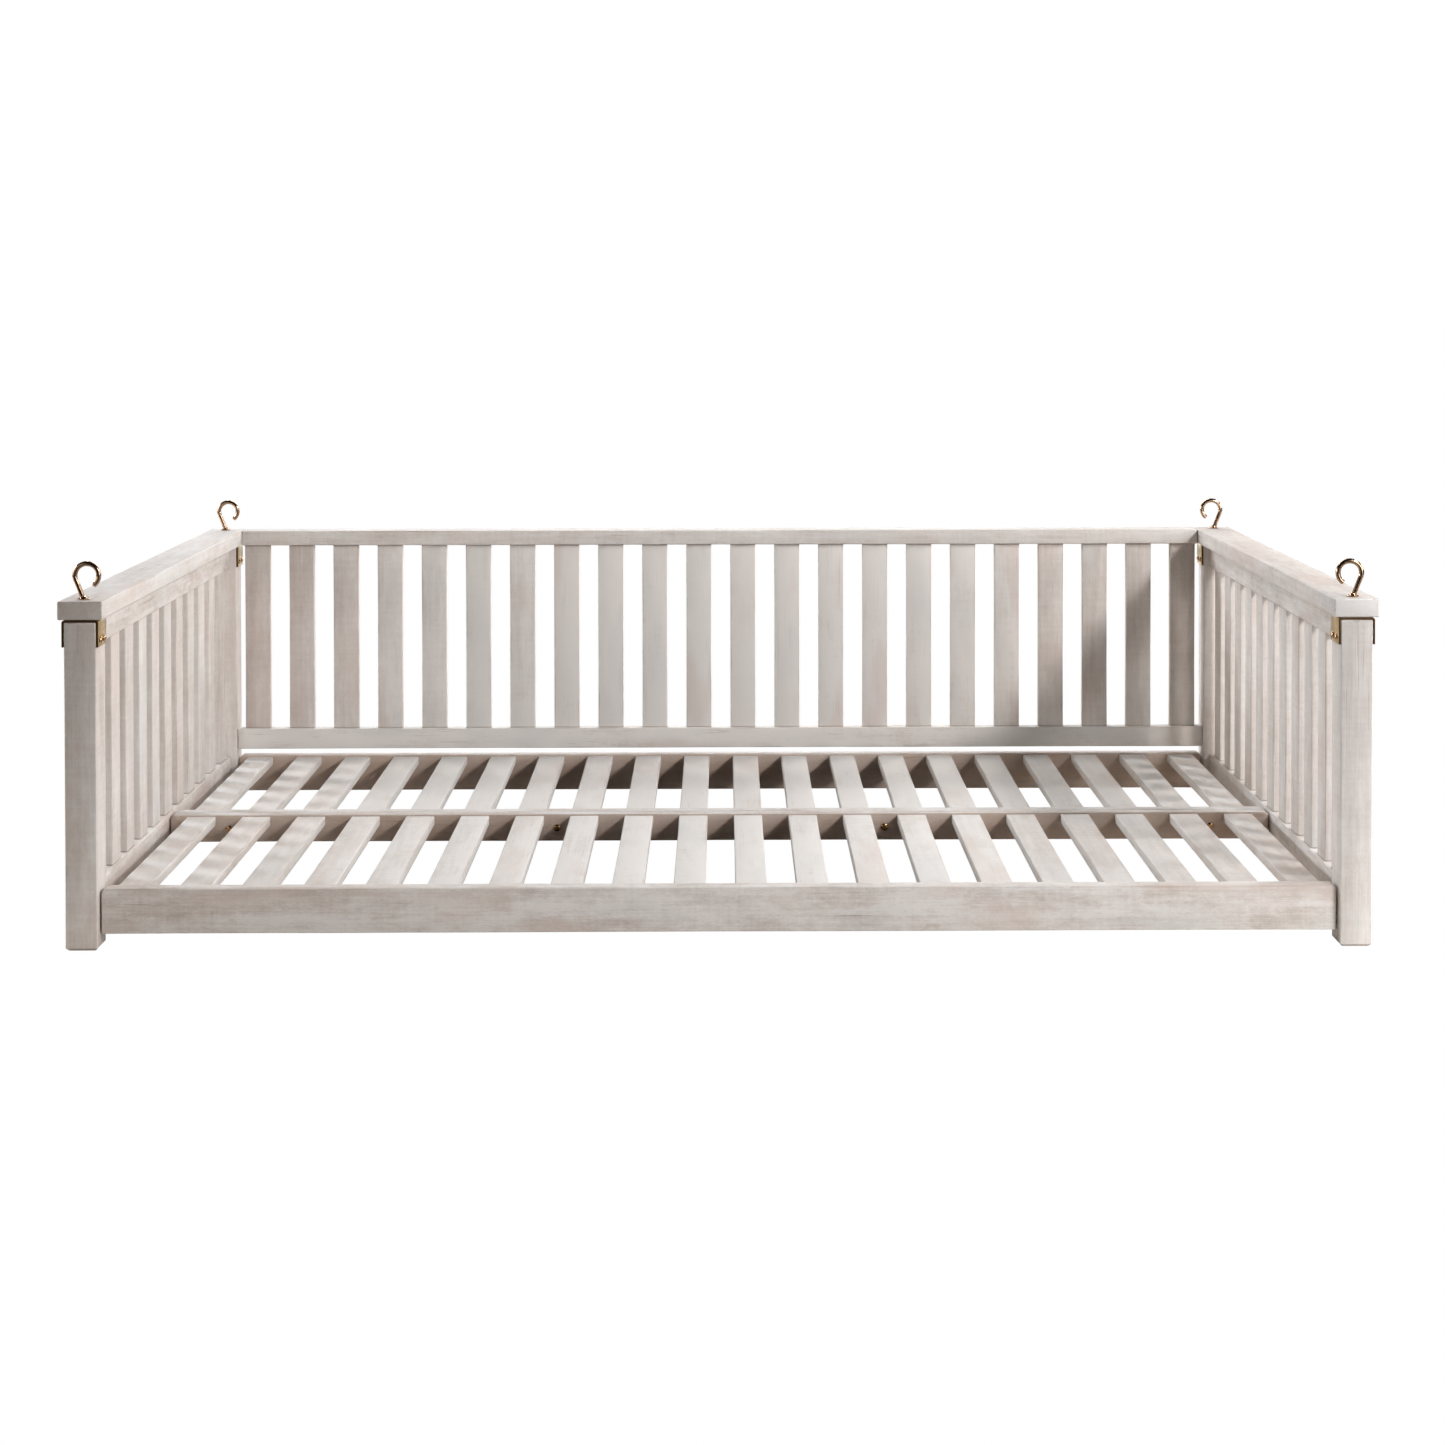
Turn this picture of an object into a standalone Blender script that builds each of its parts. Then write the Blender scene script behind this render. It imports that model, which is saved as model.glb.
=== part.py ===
"""A hanging daybed frame for a twin mattress: slatted back, sides and deck, with a hook over each post.

Run it with blender --background --python part.py, or from the text editor. Units are metres and +Z is up.
The front faces -Y, and the origin is on the floor under the middle of the frame.
"""

import math

import bmesh
import bpy
from mathutils import Matrix, Vector

# The whole frame
HALF_WIDTH = 1.0215  # from the middle to the outer edge of an arm board
HALF_DEPTH = 0.545  # from the middle to the front face of the front posts
ARM_TOP = 0.541
GAP = 0.0003  # between pieces that touch
REACH = 0.005  # how far a cutter runs past the face it starts from
WELD = 0.00001
BORE_SIDES = 12
ROUND_SIDES = 20
HEXAGON = 6
EASED_ANGLE = math.radians(60)  # edges sharper than this are chamfered
SHARP_ANGLE = math.radians(35)  # edges sharper than this stay sharp on the round pieces

# Wooden stock
POST = 0.050
FOOT_CHAMFER = 0.004
EASE = 0.0015  # chamfer along the edges of every board
ARM_WIDTH = 0.070
ARM_THICK = 0.029
SLAT_WIDTH = 0.050
SLAT_THICK = 0.014
DECK_SLAT_THICK = 0.016
TONGUE = 0.010  # depth of a slat's end inside its rail
TENON_THICK = 0.012
TENON_DEPTH = 0.012

# Side panels
SIDE_RAIL_THICK = 0.024
SIDE_UPPER_RAIL_BOTTOM = 0.466
SIDE_LOWER_RAIL = (0.023, 0.093)  # underside and top
SIDE_UPPER_TENON = (0.471, 0.491)
SIDE_LOWER_TENON = (0.036, 0.080)
SIDE_SLATS = 11
SIDE_SLAT_MARGIN = 0.023  # from a post to the nearest slat

# Back panel
BACK_SETBACK = 0.006  # from the front face of a rear post to the front of the panel's boards
BACK_BOTTOM_RAIL = (0.107, 0.147)
BACK_BOTTOM_RAIL_THICK = 0.025
BACK_SLATS = 22
BACK_SLAT_PITCH = 0.0878
BACK_SLAT_SETBACK = 0.008  # behind the front of the panel's boards
BACK_TENON = (0.529, 0.537)

# Deck
DECK_RAIL = (0.023, 0.093)
DECK_RAIL_THICK = 0.028
DECK_RAIL_INSET = 0.012  # behind the outer face of the posts
DECK_RAIL_CLEARANCE = 0.0025  # at each end, so the deck drops in between the posts
CENTRE_RAIL = (0.045, 0.093)
CENTRE_RAIL_THICK = 0.023
CENTRE_RAIL_CLEARANCE = 0.0035
DECK_SLATS = 20
DECK_SLAT_PITCH = 0.0965
DECK_SLAT_TOP = 0.090

# Brackets over the post tops
STRAP = 0.003
STRAP_WIDTH = 0.049
STRAP_BEND = 0.004  # outside radius of its two corners
STRAP_OUTSIDE_STEPS = 4  # facets of a corner
STRAP_INSIDE_STEPS = 2
BRACKET_FOOT = 0.470
BRACKET_SCREW_BORE = 0.0021
SCREW_BORE_SIDES = 8
BRACKET_SCREW_SPREAD = 0.011  # each side of the strap's middle
BRACKET_SCREW_HEIGHT = 0.480

# Hooks
WIRE = 0.004  # radius
HOOK_RING = 0.0185  # radius of its centre line
HOOK_RING_OFFSET = 0.005  # from the shank towards the middle of the frame
HOOK_RING_HEIGHT = 0.0375  # above the arm
HOOK_NECK = math.radians(-31)
HOOK_TIP = math.radians(236)
HOOK_ARC_STEPS = 18
FLANGE_RADIUS = 0.0092
FLANGE_THICK = 0.002
SHANK_END = 0.498
SHANK_BORE = 0.0048
NUT_POCKET_RADIUS = 0.011
NUT_POCKET_FLOOR = 0.494
HOOK_NUT_RADIUS = 0.0075
HOOK_NUT_HEIGHT = 0.008
HOOK_NUT_BORE = 0.0044

# Bolts
BOLT_RADIUS = 0.003
BOLT_BORE = 0.0036
BOLT_HEAD_RADIUS = 0.0065
BOLT_HEAD_HEIGHT = 0.0035
BOLT_HEAD_SHAPE = ((0.0, 1.0), (0.6, 1.0), (0.9, 0.6), (1.0, 0.0))  # shares of the head's radius and height
BOLT_POINT_RADIUS = 0.002
BOLT_POINT_LENGTH = 0.001
SOCKET_RADIUS = 0.0024
SOCKET_DEPTH = 0.002
SEAM_BOLT_PLACES = (-9, -3, 3, 9)  # in slat pitches from the middle, each in a gap between slats
SEAM_BOLT_HEIGHT = 0.0685
SEAM_NUT_RADIUS = 0.0058
SEAM_NUT_HEIGHT = 0.005
BOLT_END = 0.002  # how far a bolt stands out of its nut
BARREL_RADIUS = 0.005
BARREL_BORE = 0.0053
BARREL_LENGTH = 0.019
BARREL_MOUTH = 0.010  # how far the bore's cutter runs out past the nut
BARREL_FROM_END = 0.025  # from a rail's end to the middle of its barrel nut
BOLT_PAST_BARREL = 0.009
DECK_BOLT_HEIGHT = 0.058
BACK_BOLT_HEIGHT = 0.121

# Worked out from the above
POST_X = HALF_WIDTH - ARM_WIDTH / 2
POST_Y = HALF_DEPTH - POST / 2
POST_INNER_X = POST_X - POST / 2
POST_OUTER_X = POST_X + POST / 2
POST_INNER_Y = POST_Y - POST / 2
ARM_BOTTOM = ARM_TOP - ARM_THICK
ARM_INNER_X = HALF_WIDTH - ARM_WIDTH
STRAP_TOP = ARM_BOTTOM - GAP
STRAP_BOTTOM = STRAP_TOP - STRAP
POST_TOP = STRAP_BOTTOM - GAP
SIDE_RAIL_INNER_X = POST_X - SIDE_RAIL_THICK / 2
SIDE_RAIL_OUTER_X = POST_X + SIDE_RAIL_THICK / 2
BACK_FRONT_Y = POST_INNER_Y + BACK_SETBACK
BACK_SLAT_Y = BACK_FRONT_Y + BACK_SLAT_SETBACK + SLAT_THICK / 2
BACK_BOTTOM_RAIL_Y = BACK_FRONT_Y + BACK_BOTTOM_RAIL_THICK / 2
DECK_RAIL_Y = HALF_DEPTH - DECK_RAIL_INSET - DECK_RAIL_THICK / 2
DECK_RAIL_END = POST_INNER_X - DECK_RAIL_CLEARANCE
CENTRE_RAIL_Y = GAP / 2 + CENTRE_RAIL_THICK / 2
CENTRE_RAIL_END = SIDE_RAIL_INNER_X - CENTRE_RAIL_CLEARANCE

CORNERS = (("front_left", -1, -1), ("front_right", 1, -1), ("rear_left", -1, 1), ("rear_right", 1, 1))
SIDES = (("left", -1), ("right", 1))

WOOD = ((0.62, 0.58, 0.54, 1.0), 0.7, 0.0)
BRASS = ((0.60, 0.44, 0.20, 1.0), 0.25, 1.0)
STEEL = ((0.55, 0.56, 0.57, 1.0), 0.35, 1.0)


def clear_scene():
    """Removes whatever the scene holds, and gives the two collections that the frame needs."""
    for thing in list(bpy.data.objects):
        bpy.data.objects.remove(thing, do_unlink=True)
    for name in ("hanging_daybed_frame", "cutters"):
        collection = bpy.data.collections.new(name)
        bpy.context.scene.collection.children.link(collection)


def placed(name, mesh, place=(0, 0, 0), finish=None):
    """An object for the mesh: a part where it has a finish, or else a tool for cutting and joining."""
    thing = bpy.data.objects.new(name, mesh)
    thing.location = place
    if finish:
        colour, roughness, metallic = finish
        material = bpy.data.materials.new(f"{name}_finish")
        material.use_nodes = True
        shader = material.node_tree.nodes["Principled BSDF"]
        shader.inputs["Base Color"].default_value = colour
        shader.inputs["Roughness"].default_value = roughness
        shader.inputs["Metallic"].default_value = metallic
        mesh.materials.append(material)
        bpy.data.collections["hanging_daybed_frame"].objects.link(thing)
        return thing
    thing.hide_render = True
    thing.display_type = "WIRE"
    bpy.data.collections["cutters"].objects.link(thing)
    return thing


def box(name, low, high, finish=None):
    """A block between two corners, with its origin in its middle."""
    low, high = Vector(low), Vector(high)
    shape = bmesh.new()
    bmesh.ops.create_cube(shape, size=1.0, matrix=Matrix.Diagonal((*(high - low), 1.0)))
    mesh = bpy.data.meshes.new(name)
    shape.to_mesh(mesh)
    shape.free()
    return placed(name, mesh, (low + high) / 2, finish)


def rod(name, start, end, radius, sides=BORE_SIDES, finish=None):
    """A cylinder or prism between two points."""
    start, end = Vector(start), Vector(end)
    turn = (end - start).to_track_quat("Z", "Y").to_matrix().to_4x4()
    shape = bmesh.new()
    bmesh.ops.create_cone(
        shape,
        cap_ends=True,
        segments=sides,
        radius1=radius,
        radius2=radius,
        depth=(end - start).length,
        matrix=turn,
    )
    mesh = bpy.data.meshes.new(name)
    shape.to_mesh(mesh)
    shape.free()
    return placed(name, mesh, (start + end) / 2, finish)


def change(piece, tool, operation="DIFFERENCE"):
    """Cuts the tool out of the piece, or joins it on."""
    boolean = piece.modifiers.new(tool.name, "BOOLEAN")
    boolean.operation = operation
    boolean.object = tool


def ease_edges(piece, width=EASE):
    bevel = piece.modifiers.new("eased_edges", "BEVEL")
    bevel.width = width
    bevel.segments = 1
    bevel.limit_method = "ANGLE"
    bevel.angle_limit = EASED_ANGLE


def board(name, low, high):
    piece = box(name, low, high, WOOD)
    ease_edges(piece)
    return piece


def across(x, y, z, side=1):
    """A point given for the right-hand side, moved to the side asked for."""
    return (side * x, y, z)


def corners(x, y, z, side=1):
    """Low and high corners from three ranges, with the X range mirrored on the left-hand side."""
    spans = [sorted((side * x[0], side * x[1])), sorted(y), sorted(z)]
    return [span[0] for span in spans], [span[1] for span in spans]


def around(middle, width):
    return (middle - width / 2, middle + width / 2)


def wider(span, amount=GAP):
    return (min(span) - amount, max(span) + amount)


def corner_bores(piece, tag, y, z, side, seat, end):
    """The bore for a bolt that runs across the frame, from outside its seat to past its end."""
    bore = rod(f"{piece.name}_{tag}", across(seat, y, z, side), across(end, y, z, side), BOLT_BORE)
    change(piece, bore)


def post(corner, side, end):
    """A square post with a chamfered foot, a pocket for the hook's nut, mortises and bolt bores."""
    low, high = corners(around(POST_X, POST), around(end * POST_Y, POST), (0.0, POST_TOP), side)
    piece = box(f"{corner}_post", low, high, WOOD)
    shape = bmesh.new()
    shape.from_mesh(piece.data)
    foot = [edge for edge in shape.edges if all(vertex.co.z < 0 for vertex in edge.verts)]
    bmesh.ops.bevel(shape, geom=foot, offset=FOOT_CHAMFER, segments=1, affect="EDGES")
    shape.to_mesh(piece.data)
    shape.free()
    ease_edges(piece)

    axis = (side * POST_X, end * POST_Y)
    ends = ((*axis, NUT_POCKET_FLOOR), (*axis, POST_TOP + REACH))
    change(piece, rod(f"{corner}_pocket", *ends, NUT_POCKET_RADIUS, ROUND_SIDES))
    faces = (end * (POST_INNER_Y - REACH), end * (POST_INNER_Y + TENON_DEPTH + GAP))
    for level, tenon in (("upper", SIDE_UPPER_TENON), ("lower", SIDE_LOWER_TENON)):
        mortise = corners(wider(around(POST_X, TENON_THICK)), faces, wider(tenon), side)
        change(piece, box(f"{corner}_{level}_mortise", *mortise))
    through = (POST_OUTER_X + REACH, POST_INNER_X - REACH)
    corner_bores(piece, "deck_bolt_bore", end * DECK_RAIL_Y, DECK_BOLT_HEIGHT, side, *through)
    if end > 0:
        corner_bores(piece, "back_bolt_bore", BACK_BOTTOM_RAIL_Y, BACK_BOLT_HEIGHT, side, *through)


def arm_board(name, side):
    """The board over a side panel, bored for the two hooks and mortised for the back's top board."""
    spans = ((ARM_INNER_X, HALF_WIDTH), (-HALF_DEPTH, HALF_DEPTH), (ARM_BOTTOM, ARM_TOP))
    piece = board(f"{name}_arm_board", *corners(*spans, side))
    for where, end in (("front", -1), ("rear", 1)):
        axis = (side * POST_X, end * POST_Y)
        ends = ((*axis, ARM_BOTTOM - REACH), (*axis, ARM_TOP + REACH))
        change(piece, rod(f"{name}_{where}_hook_bore", *ends, SHANK_BORE, ROUND_SIDES))
    low, high = corners(
        (ARM_INNER_X - REACH, ARM_INNER_X + TENON_DEPTH + GAP),
        wider((BACK_FRONT_Y + TENON_DEPTH, HALF_DEPTH - TENON_DEPTH)),
        wider(BACK_TENON),
        side,
    )
    change(piece, box(f"{name}_back_mortise", low, high))


def side_rails(name, side):
    """The two rails of a side panel, tenoned into the posts and grooved for the slats."""
    run = POST_INNER_Y - GAP
    groove_run = side_slat_reach() + GAP
    levels = (
        ("upper", (SIDE_UPPER_RAIL_BOTTOM, ARM_BOTTOM - GAP), SIDE_UPPER_TENON, (-REACH, TONGUE + GAP)),
        ("lower", SIDE_LOWER_RAIL, SIDE_LOWER_TENON, (-TONGUE - GAP, REACH)),
    )
    for level, (bottom, top), tenon, groove in levels:
        x_span = around(POST_X, SIDE_RAIL_THICK)
        piece = board(f"{name}_{level}_rail", *corners(x_span, (-run, run), (bottom, top), side))
        for where, end in (("front", -1), ("rear", 1)):
            ends = (end * (run - REACH), end * (POST_INNER_Y + TENON_DEPTH))
            low, high = corners(around(POST_X, TENON_THICK), ends, tenon, side)
            change(piece, box(f"{name}_{level}_{where}_tenon", low, high), "UNION")
        face = bottom if level == "upper" else top
        low, high = corners(
            wider(around(POST_X, SLAT_THICK)),
            (-groove_run, groove_run),
            (face + groove[0], face + groove[1]),
            side,
        )
        change(piece, box(f"{name}_{level}_groove", low, high))
        if level == "lower":
            ends = (SIDE_RAIL_OUTER_X + REACH, SIDE_RAIL_INNER_X - REACH)
            corner_bores(piece, "centre_bolt_bore", -CENTRE_RAIL_Y, DECK_BOLT_HEIGHT, side, *ends)


def side_slat_reach():
    """From the middle of a side panel to the far edge of its last slat."""
    return POST_INNER_Y - SIDE_SLAT_MARGIN


def welded_mesh(curve_object):
    """The mesh of a curve, with its caps joined on."""
    bpy.context.view_layer.update()
    graph = bpy.context.evaluated_depsgraph_get()
    mesh = bpy.data.meshes.new_from_object(curve_object.evaluated_get(graph))
    shape = bmesh.new()
    shape.from_mesh(mesh)
    bmesh.ops.remove_doubles(shape, verts=shape.verts, dist=WELD)
    shape.to_mesh(mesh)
    shape.free()
    bpy.data.objects.remove(curve_object, do_unlink=True)
    return mesh


def flat_plate(name, outlines, thickness):
    """The mesh of a flat plate from closed outlines; those inside the first are holes."""
    curve = bpy.data.curves.new(f"{name}_outline", "CURVE")
    curve.dimensions = "2D"
    curve.fill_mode = "BOTH"
    curve.extrude = thickness / 2
    for outline in outlines:
        spline = curve.splines.new("POLY")
        spline.points.add(len(outline) - 1)
        for point, (x, y) in zip(spline.points, outline):
            point.co = (x, y, 0.0, 1.0)
        spline.use_cyclic_u = True
    drawing = bpy.data.objects.new(f"{name}_drawing", curve)
    bpy.data.collections["cutters"].objects.link(drawing)
    return welded_mesh(drawing)


def rectangle(half_width, low, high, middle=0.0):
    return [
        (middle - half_width, low),
        (middle + half_width, low),
        (middle + half_width, high),
        (middle - half_width, high),
    ]


def slat_row(name, count, pitch, clear, thickness, axes, place):
    """A row of slats joined along both ends by the tongues that sit in the rails' grooves.

    clear is the free length of a slat between its rails, and axes are the world directions of the row and of
    a slat.
    """
    reach = (count - 1) * pitch / 2 + SLAT_WIDTH / 2
    outlines = [rectangle(reach, -clear / 2 - TONGUE, clear / 2 + TONGUE)]
    hole_end = clear / 2 + 2 * GAP
    for gap in range(count - 1):
        middle = (gap - (count - 2) / 2) * pitch
        outlines.append(rectangle((pitch - SLAT_WIDTH) / 2, -hole_end, hole_end, middle))
    mesh = flat_plate(name, outlines, thickness)
    along, up = Vector(axes[0]), Vector(axes[1])
    turn = Matrix((along, up, along.cross(up))).transposed()
    mesh.transform(turn.to_4x4())
    placed(name, mesh, place, WOOD)


def side_slats(name, side):
    pitch = (2 * side_slat_reach() - SLAT_WIDTH) / (SIDE_SLATS - 1)
    clear = SIDE_UPPER_RAIL_BOTTOM - SIDE_LOWER_RAIL[1]
    place = (side * POST_X, 0.0, SIDE_LOWER_RAIL[1] + clear / 2)
    slat_row(f"{name}_side_slats", SIDE_SLATS, pitch, clear, SLAT_THICK, ((0, 1, 0), (0, 0, 1)), place)


def back_panel():
    """The top board between the arm boards, the bottom rail between the rear posts, and the slats."""
    end = ARM_INNER_X - GAP
    top = board("back_top_board", *corners((-end, end), (BACK_FRONT_Y, HALF_DEPTH), (ARM_BOTTOM, ARM_TOP)))
    for name, side in SIDES:
        low, high = corners(
            (end - REACH, ARM_INNER_X + TENON_DEPTH),
            (BACK_FRONT_Y + TENON_DEPTH, HALF_DEPTH - TENON_DEPTH),
            BACK_TENON,
            side,
        )
        change(top, box(f"back_top_{name}_tenon", low, high), "UNION")

    end = POST_INNER_X - GAP
    y_span = around(BACK_BOTTOM_RAIL_Y, BACK_BOTTOM_RAIL_THICK)
    bottom = board("back_bottom_rail", *corners((-end, end), y_span, BACK_BOTTOM_RAIL))
    bolt_axis = (BACK_BOTTOM_RAIL_Y, BACK_BOLT_HEIGHT)
    barrel_joints(bottom, "back", end, bolt_axis, POST_OUTER_X, (0, -1, 0))

    reach = (BACK_SLATS - 1) * BACK_SLAT_PITCH / 2 + SLAT_WIDTH / 2 + GAP
    grooves = (
        (top, (ARM_BOTTOM - REACH, ARM_BOTTOM + TONGUE + GAP)),
        (bottom, (BACK_BOTTOM_RAIL[1] - TONGUE - GAP, BACK_BOTTOM_RAIL[1] + REACH)),
    )
    for piece, z_span in grooves:
        low, high = corners((-reach, reach), wider(around(BACK_SLAT_Y, SLAT_THICK)), z_span)
        change(piece, box(f"{piece.name}_groove", low, high))

    clear = ARM_BOTTOM - BACK_BOTTOM_RAIL[1]
    place = (0.0, BACK_SLAT_Y, BACK_BOTTOM_RAIL[1] + clear / 2)
    slat_row("back_slats", BACK_SLATS, BACK_SLAT_PITCH, clear, SLAT_THICK, ((1, 0, 0), (0, 0, 1)), place)


def deck():
    """Two halves, each a row of slats between an outer and a centre rail, bolted together in the middle."""
    reach = (DECK_SLATS - 1) * DECK_SLAT_PITCH / 2 + SLAT_WIDTH / 2 + GAP
    slat_z = wider((DECK_SLAT_TOP - DECK_SLAT_THICK, DECK_SLAT_TOP))
    for half, end in (("front", -1), ("rear", 1)):
        outer_span = around(end * DECK_RAIL_Y, DECK_RAIL_THICK)
        outer = board(f"deck_{half}_rail", *corners((-DECK_RAIL_END, DECK_RAIL_END), outer_span, DECK_RAIL))
        outer_face = end * (DECK_RAIL_Y - DECK_RAIL_THICK / 2)
        bolt_axis = (end * DECK_RAIL_Y, DECK_BOLT_HEIGHT)
        barrel_joints(outer, f"deck_{half}", DECK_RAIL_END, bolt_axis, POST_OUTER_X, (0, end, 0))

        centre_span = around(end * CENTRE_RAIL_Y, CENTRE_RAIL_THICK)
        low, high = corners((-CENTRE_RAIL_END, CENTRE_RAIL_END), centre_span, CENTRE_RAIL)
        centre = board(f"deck_centre_{half}_rail", low, high)
        centre_face = end * (CENTRE_RAIL_Y + CENTRE_RAIL_THICK / 2)
        if half == "front":
            bolt_axis = (end * CENTRE_RAIL_Y, DECK_BOLT_HEIGHT)
            barrel_joints(centre, "deck_centre", CENTRE_RAIL_END, bolt_axis, SIDE_RAIL_OUTER_X, (0, 0, 1))
        for index, pitches in enumerate(SEAM_BOLT_PLACES, 1):
            x = pitches * DECK_SLAT_PITCH
            ends = [(x, sign * 2 * CENTRE_RAIL_THICK, SEAM_BOLT_HEIGHT) for sign in (-1, 1)]
            change(centre, rod(f"deck_centre_{half}_seam_bore_{index}", *ends, BOLT_BORE))

        for piece, face, outward in ((outer, outer_face, end), (centre, centre_face, -end)):
            y_span = (face - outward * REACH, face + outward * (TONGUE + GAP))
            change(piece, box(f"{piece.name}_groove", *corners((-reach, reach), y_span, slat_z)))

        clear = abs(outer_face - centre_face)
        place = (0.0, (outer_face + centre_face) / 2, DECK_SLAT_TOP - DECK_SLAT_THICK / 2)
        axes = ((1, 0, 0), (0, 1, 0))
        slat_row(f"deck_{half}_slats", DECK_SLATS, DECK_SLAT_PITCH, clear, DECK_SLAT_THICK, axes, place)


def bolt(name, seat, facing, length, finish):
    """A round-headed bolt with a hexagonal socket, its head on the seat and facing outwards."""
    profile = [(BOLT_HEAD_RADIUS * out, BOLT_HEAD_HEIGHT * up) for out, up in BOLT_HEAD_SHAPE]
    profile += [
        (BOLT_RADIUS, 0.0),
        (BOLT_RADIUS, -length + BOLT_POINT_LENGTH),
        (BOLT_POINT_RADIUS, -length),
        (0.0, -length),
    ]
    mesh = bpy.data.meshes.new(name)
    mesh.from_pydata([(x, 0.0, z) for x, z in profile], [(i, i + 1) for i in range(len(profile) - 1)], [])
    facing = Vector(facing)
    piece = placed(name, mesh, Vector(seat) + GAP * facing, finish)
    piece.rotation_euler = facing.to_track_quat("Z", "Y").to_euler()
    screw = piece.modifiers.new("turned", "SCREW")
    screw.steps = ROUND_SIDES
    screw.render_steps = ROUND_SIDES
    screw.use_merge_vertices = True
    screw.merge_threshold = WELD
    crest = Vector(seat) + (BOLT_HEAD_HEIGHT + REACH) * facing
    socket_floor = Vector(seat) + (GAP + BOLT_HEAD_HEIGHT - SOCKET_DEPTH) * facing
    change(piece, rod(f"{name}_socket", socket_floor, crest, SOCKET_RADIUS, HEXAGON))


def barrel_joints(rail, tag, rail_end, bolt_axis, seat_x, into):
    """At each end of a rail, a bolt from its seat into a barrel nut that lies in a blind bore.

    bolt_axis is the bolts' (y, z), and into is the direction in which the barrel nuts go in. They start just
    inside the rail's face, which lies half the nut's length before the bolt's axis.
    """
    nut_x = rail_end - BARREL_FROM_END
    bolt_end = nut_x - BOLT_PAST_BARREL
    into = Vector(into)
    for name, side in SIDES:
        corner_bores(rail, f"{name}_bolt_bore", *bolt_axis, side, rail_end + REACH, bolt_end - BOLT_END)
        middle = Vector((side * nut_x, *bolt_axis))
        start = middle - into * BARREL_LENGTH / 2
        end = middle + into * BARREL_LENGTH / 2
        bore = rod(f"{tag}_{name}_barrel_bore", start - BARREL_MOUTH * into, end + GAP * into, BARREL_BORE)
        change(rail, bore)

        nut = rod(f"{tag}_{name}_barrel_nut", start, end, BARREL_RADIUS, ROUND_SIDES, STEEL)
        reach = Vector((BARREL_RADIUS + REACH, 0, 0))
        change(nut, rod(f"{tag}_{name}_nut_bore", middle - reach, middle + reach, BOLT_BORE))
        bolt(f"{tag}_{name}_bolt", (side * seat_x, *bolt_axis), (side, 0, 0), seat_x - bolt_end, STEEL)


def hex_nut(name, low, high, radius, bore_radius, finish):
    """A hexagonal nut between two points on its axis."""
    low, high = Vector(low), Vector(high)
    reach = (high - low).normalized() * REACH
    nut = rod(name, low, high, radius, HEXAGON, finish)
    change(nut, rod(f"{name}_bore", low - reach, high + reach, bore_radius))
    return nut


def seam_bolts():
    """The bolts that hold the deck's two halves together, with their nuts behind."""
    face = CENTRE_RAIL_Y + CENTRE_RAIL_THICK / 2
    length = 2 * face + 2 * GAP + SEAM_NUT_HEIGHT + BOLT_END
    for index, pitches in enumerate(SEAM_BOLT_PLACES, 1):
        x = pitches * DECK_SLAT_PITCH
        bolt(f"seam_bolt_{index}", (x, -face, SEAM_BOLT_HEIGHT), (0, -1, 0), length, BRASS)
        start = (x, face + GAP, SEAM_BOLT_HEIGHT)
        end = (x, face + GAP + SEAM_NUT_HEIGHT, SEAM_BOLT_HEIGHT)
        hex_nut(f"seam_nut_{index}", start, end, SEAM_NUT_RADIUS, BOLT_BORE, STEEL)


def arc(middle, radius, first, last, steps):
    """Points along an arc between two angles in degrees."""
    angles = [math.radians(first + (last - first) * step / steps) for step in range(steps + 1)]
    return [(middle[0] + radius * math.cos(a), middle[1] + radius * math.sin(a)) for a in angles]


def bracket(corner, side, end):
    """A strap over the post's top, bent down both faces and bored for its screws and for the hook."""
    inner = POST / 2 + GAP
    outer = inner + STRAP
    foot = BRACKET_FOOT
    bend = STRAP_TOP - STRAP_BEND
    inside_bend = STRAP_BEND - STRAP
    outline = [(-outer, foot)]
    outline += arc((-outer + STRAP_BEND, bend), STRAP_BEND, 180, 90, STRAP_OUTSIDE_STEPS)
    outline += arc((outer - STRAP_BEND, bend), STRAP_BEND, 90, 0, STRAP_OUTSIDE_STEPS)
    outline += [(outer, foot), (inner, foot)]
    outline += arc((outer - STRAP_BEND, bend), inside_bend, 0, 90, STRAP_INSIDE_STEPS)
    outline += arc((-outer + STRAP_BEND, bend), inside_bend, 90, 180, STRAP_INSIDE_STEPS)
    outline += [(-inner, foot)]
    mesh = flat_plate(f"{corner}_bracket", [outline], STRAP_WIDTH)
    mesh.transform(Matrix.Rotation(math.radians(90), 4, "X"))
    place = (side * POST_X, end * POST_Y, 0.0)
    piece = placed(f"{corner}_bracket", mesh, place, BRASS)

    axis = (side * POST_X, end * POST_Y)
    ends = ((*axis, STRAP_BOTTOM - REACH), (*axis, STRAP_TOP + REACH))
    change(piece, rod(f"{corner}_strap_bore", *ends, SHANK_BORE, ROUND_SIDES))
    for where, column in (("front", -1), ("rear", 1)):
        point = (end * POST_Y + column * BRACKET_SCREW_SPREAD, BRACKET_SCREW_HEIGHT)
        ends = (across(POST_X - outer - REACH, *point, side), across(POST_X + outer + REACH, *point, side))
        change(piece, rod(f"{corner}_{where}_screw_bore", *ends, BRACKET_SCREW_BORE, SCREW_BORE_SIDES))


def hook_wire(side):
    """The hook's centre line, from its shank's end to its tip, about the shank's axis at the arm's top."""
    points = [(0.0, SHANK_END - ARM_TOP), (0.0, FLANGE_THICK / 2)]
    for step in range(HOOK_ARC_STEPS + 1):
        angle = HOOK_NECK + (HOOK_TIP - HOOK_NECK) * step / HOOK_ARC_STEPS
        x = HOOK_RING * math.cos(angle) - HOOK_RING_OFFSET
        points.append((x, HOOK_RING_HEIGHT + HOOK_RING * math.sin(angle)))
    return [(side * x, 0.0, z) for x, z in points]


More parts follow.
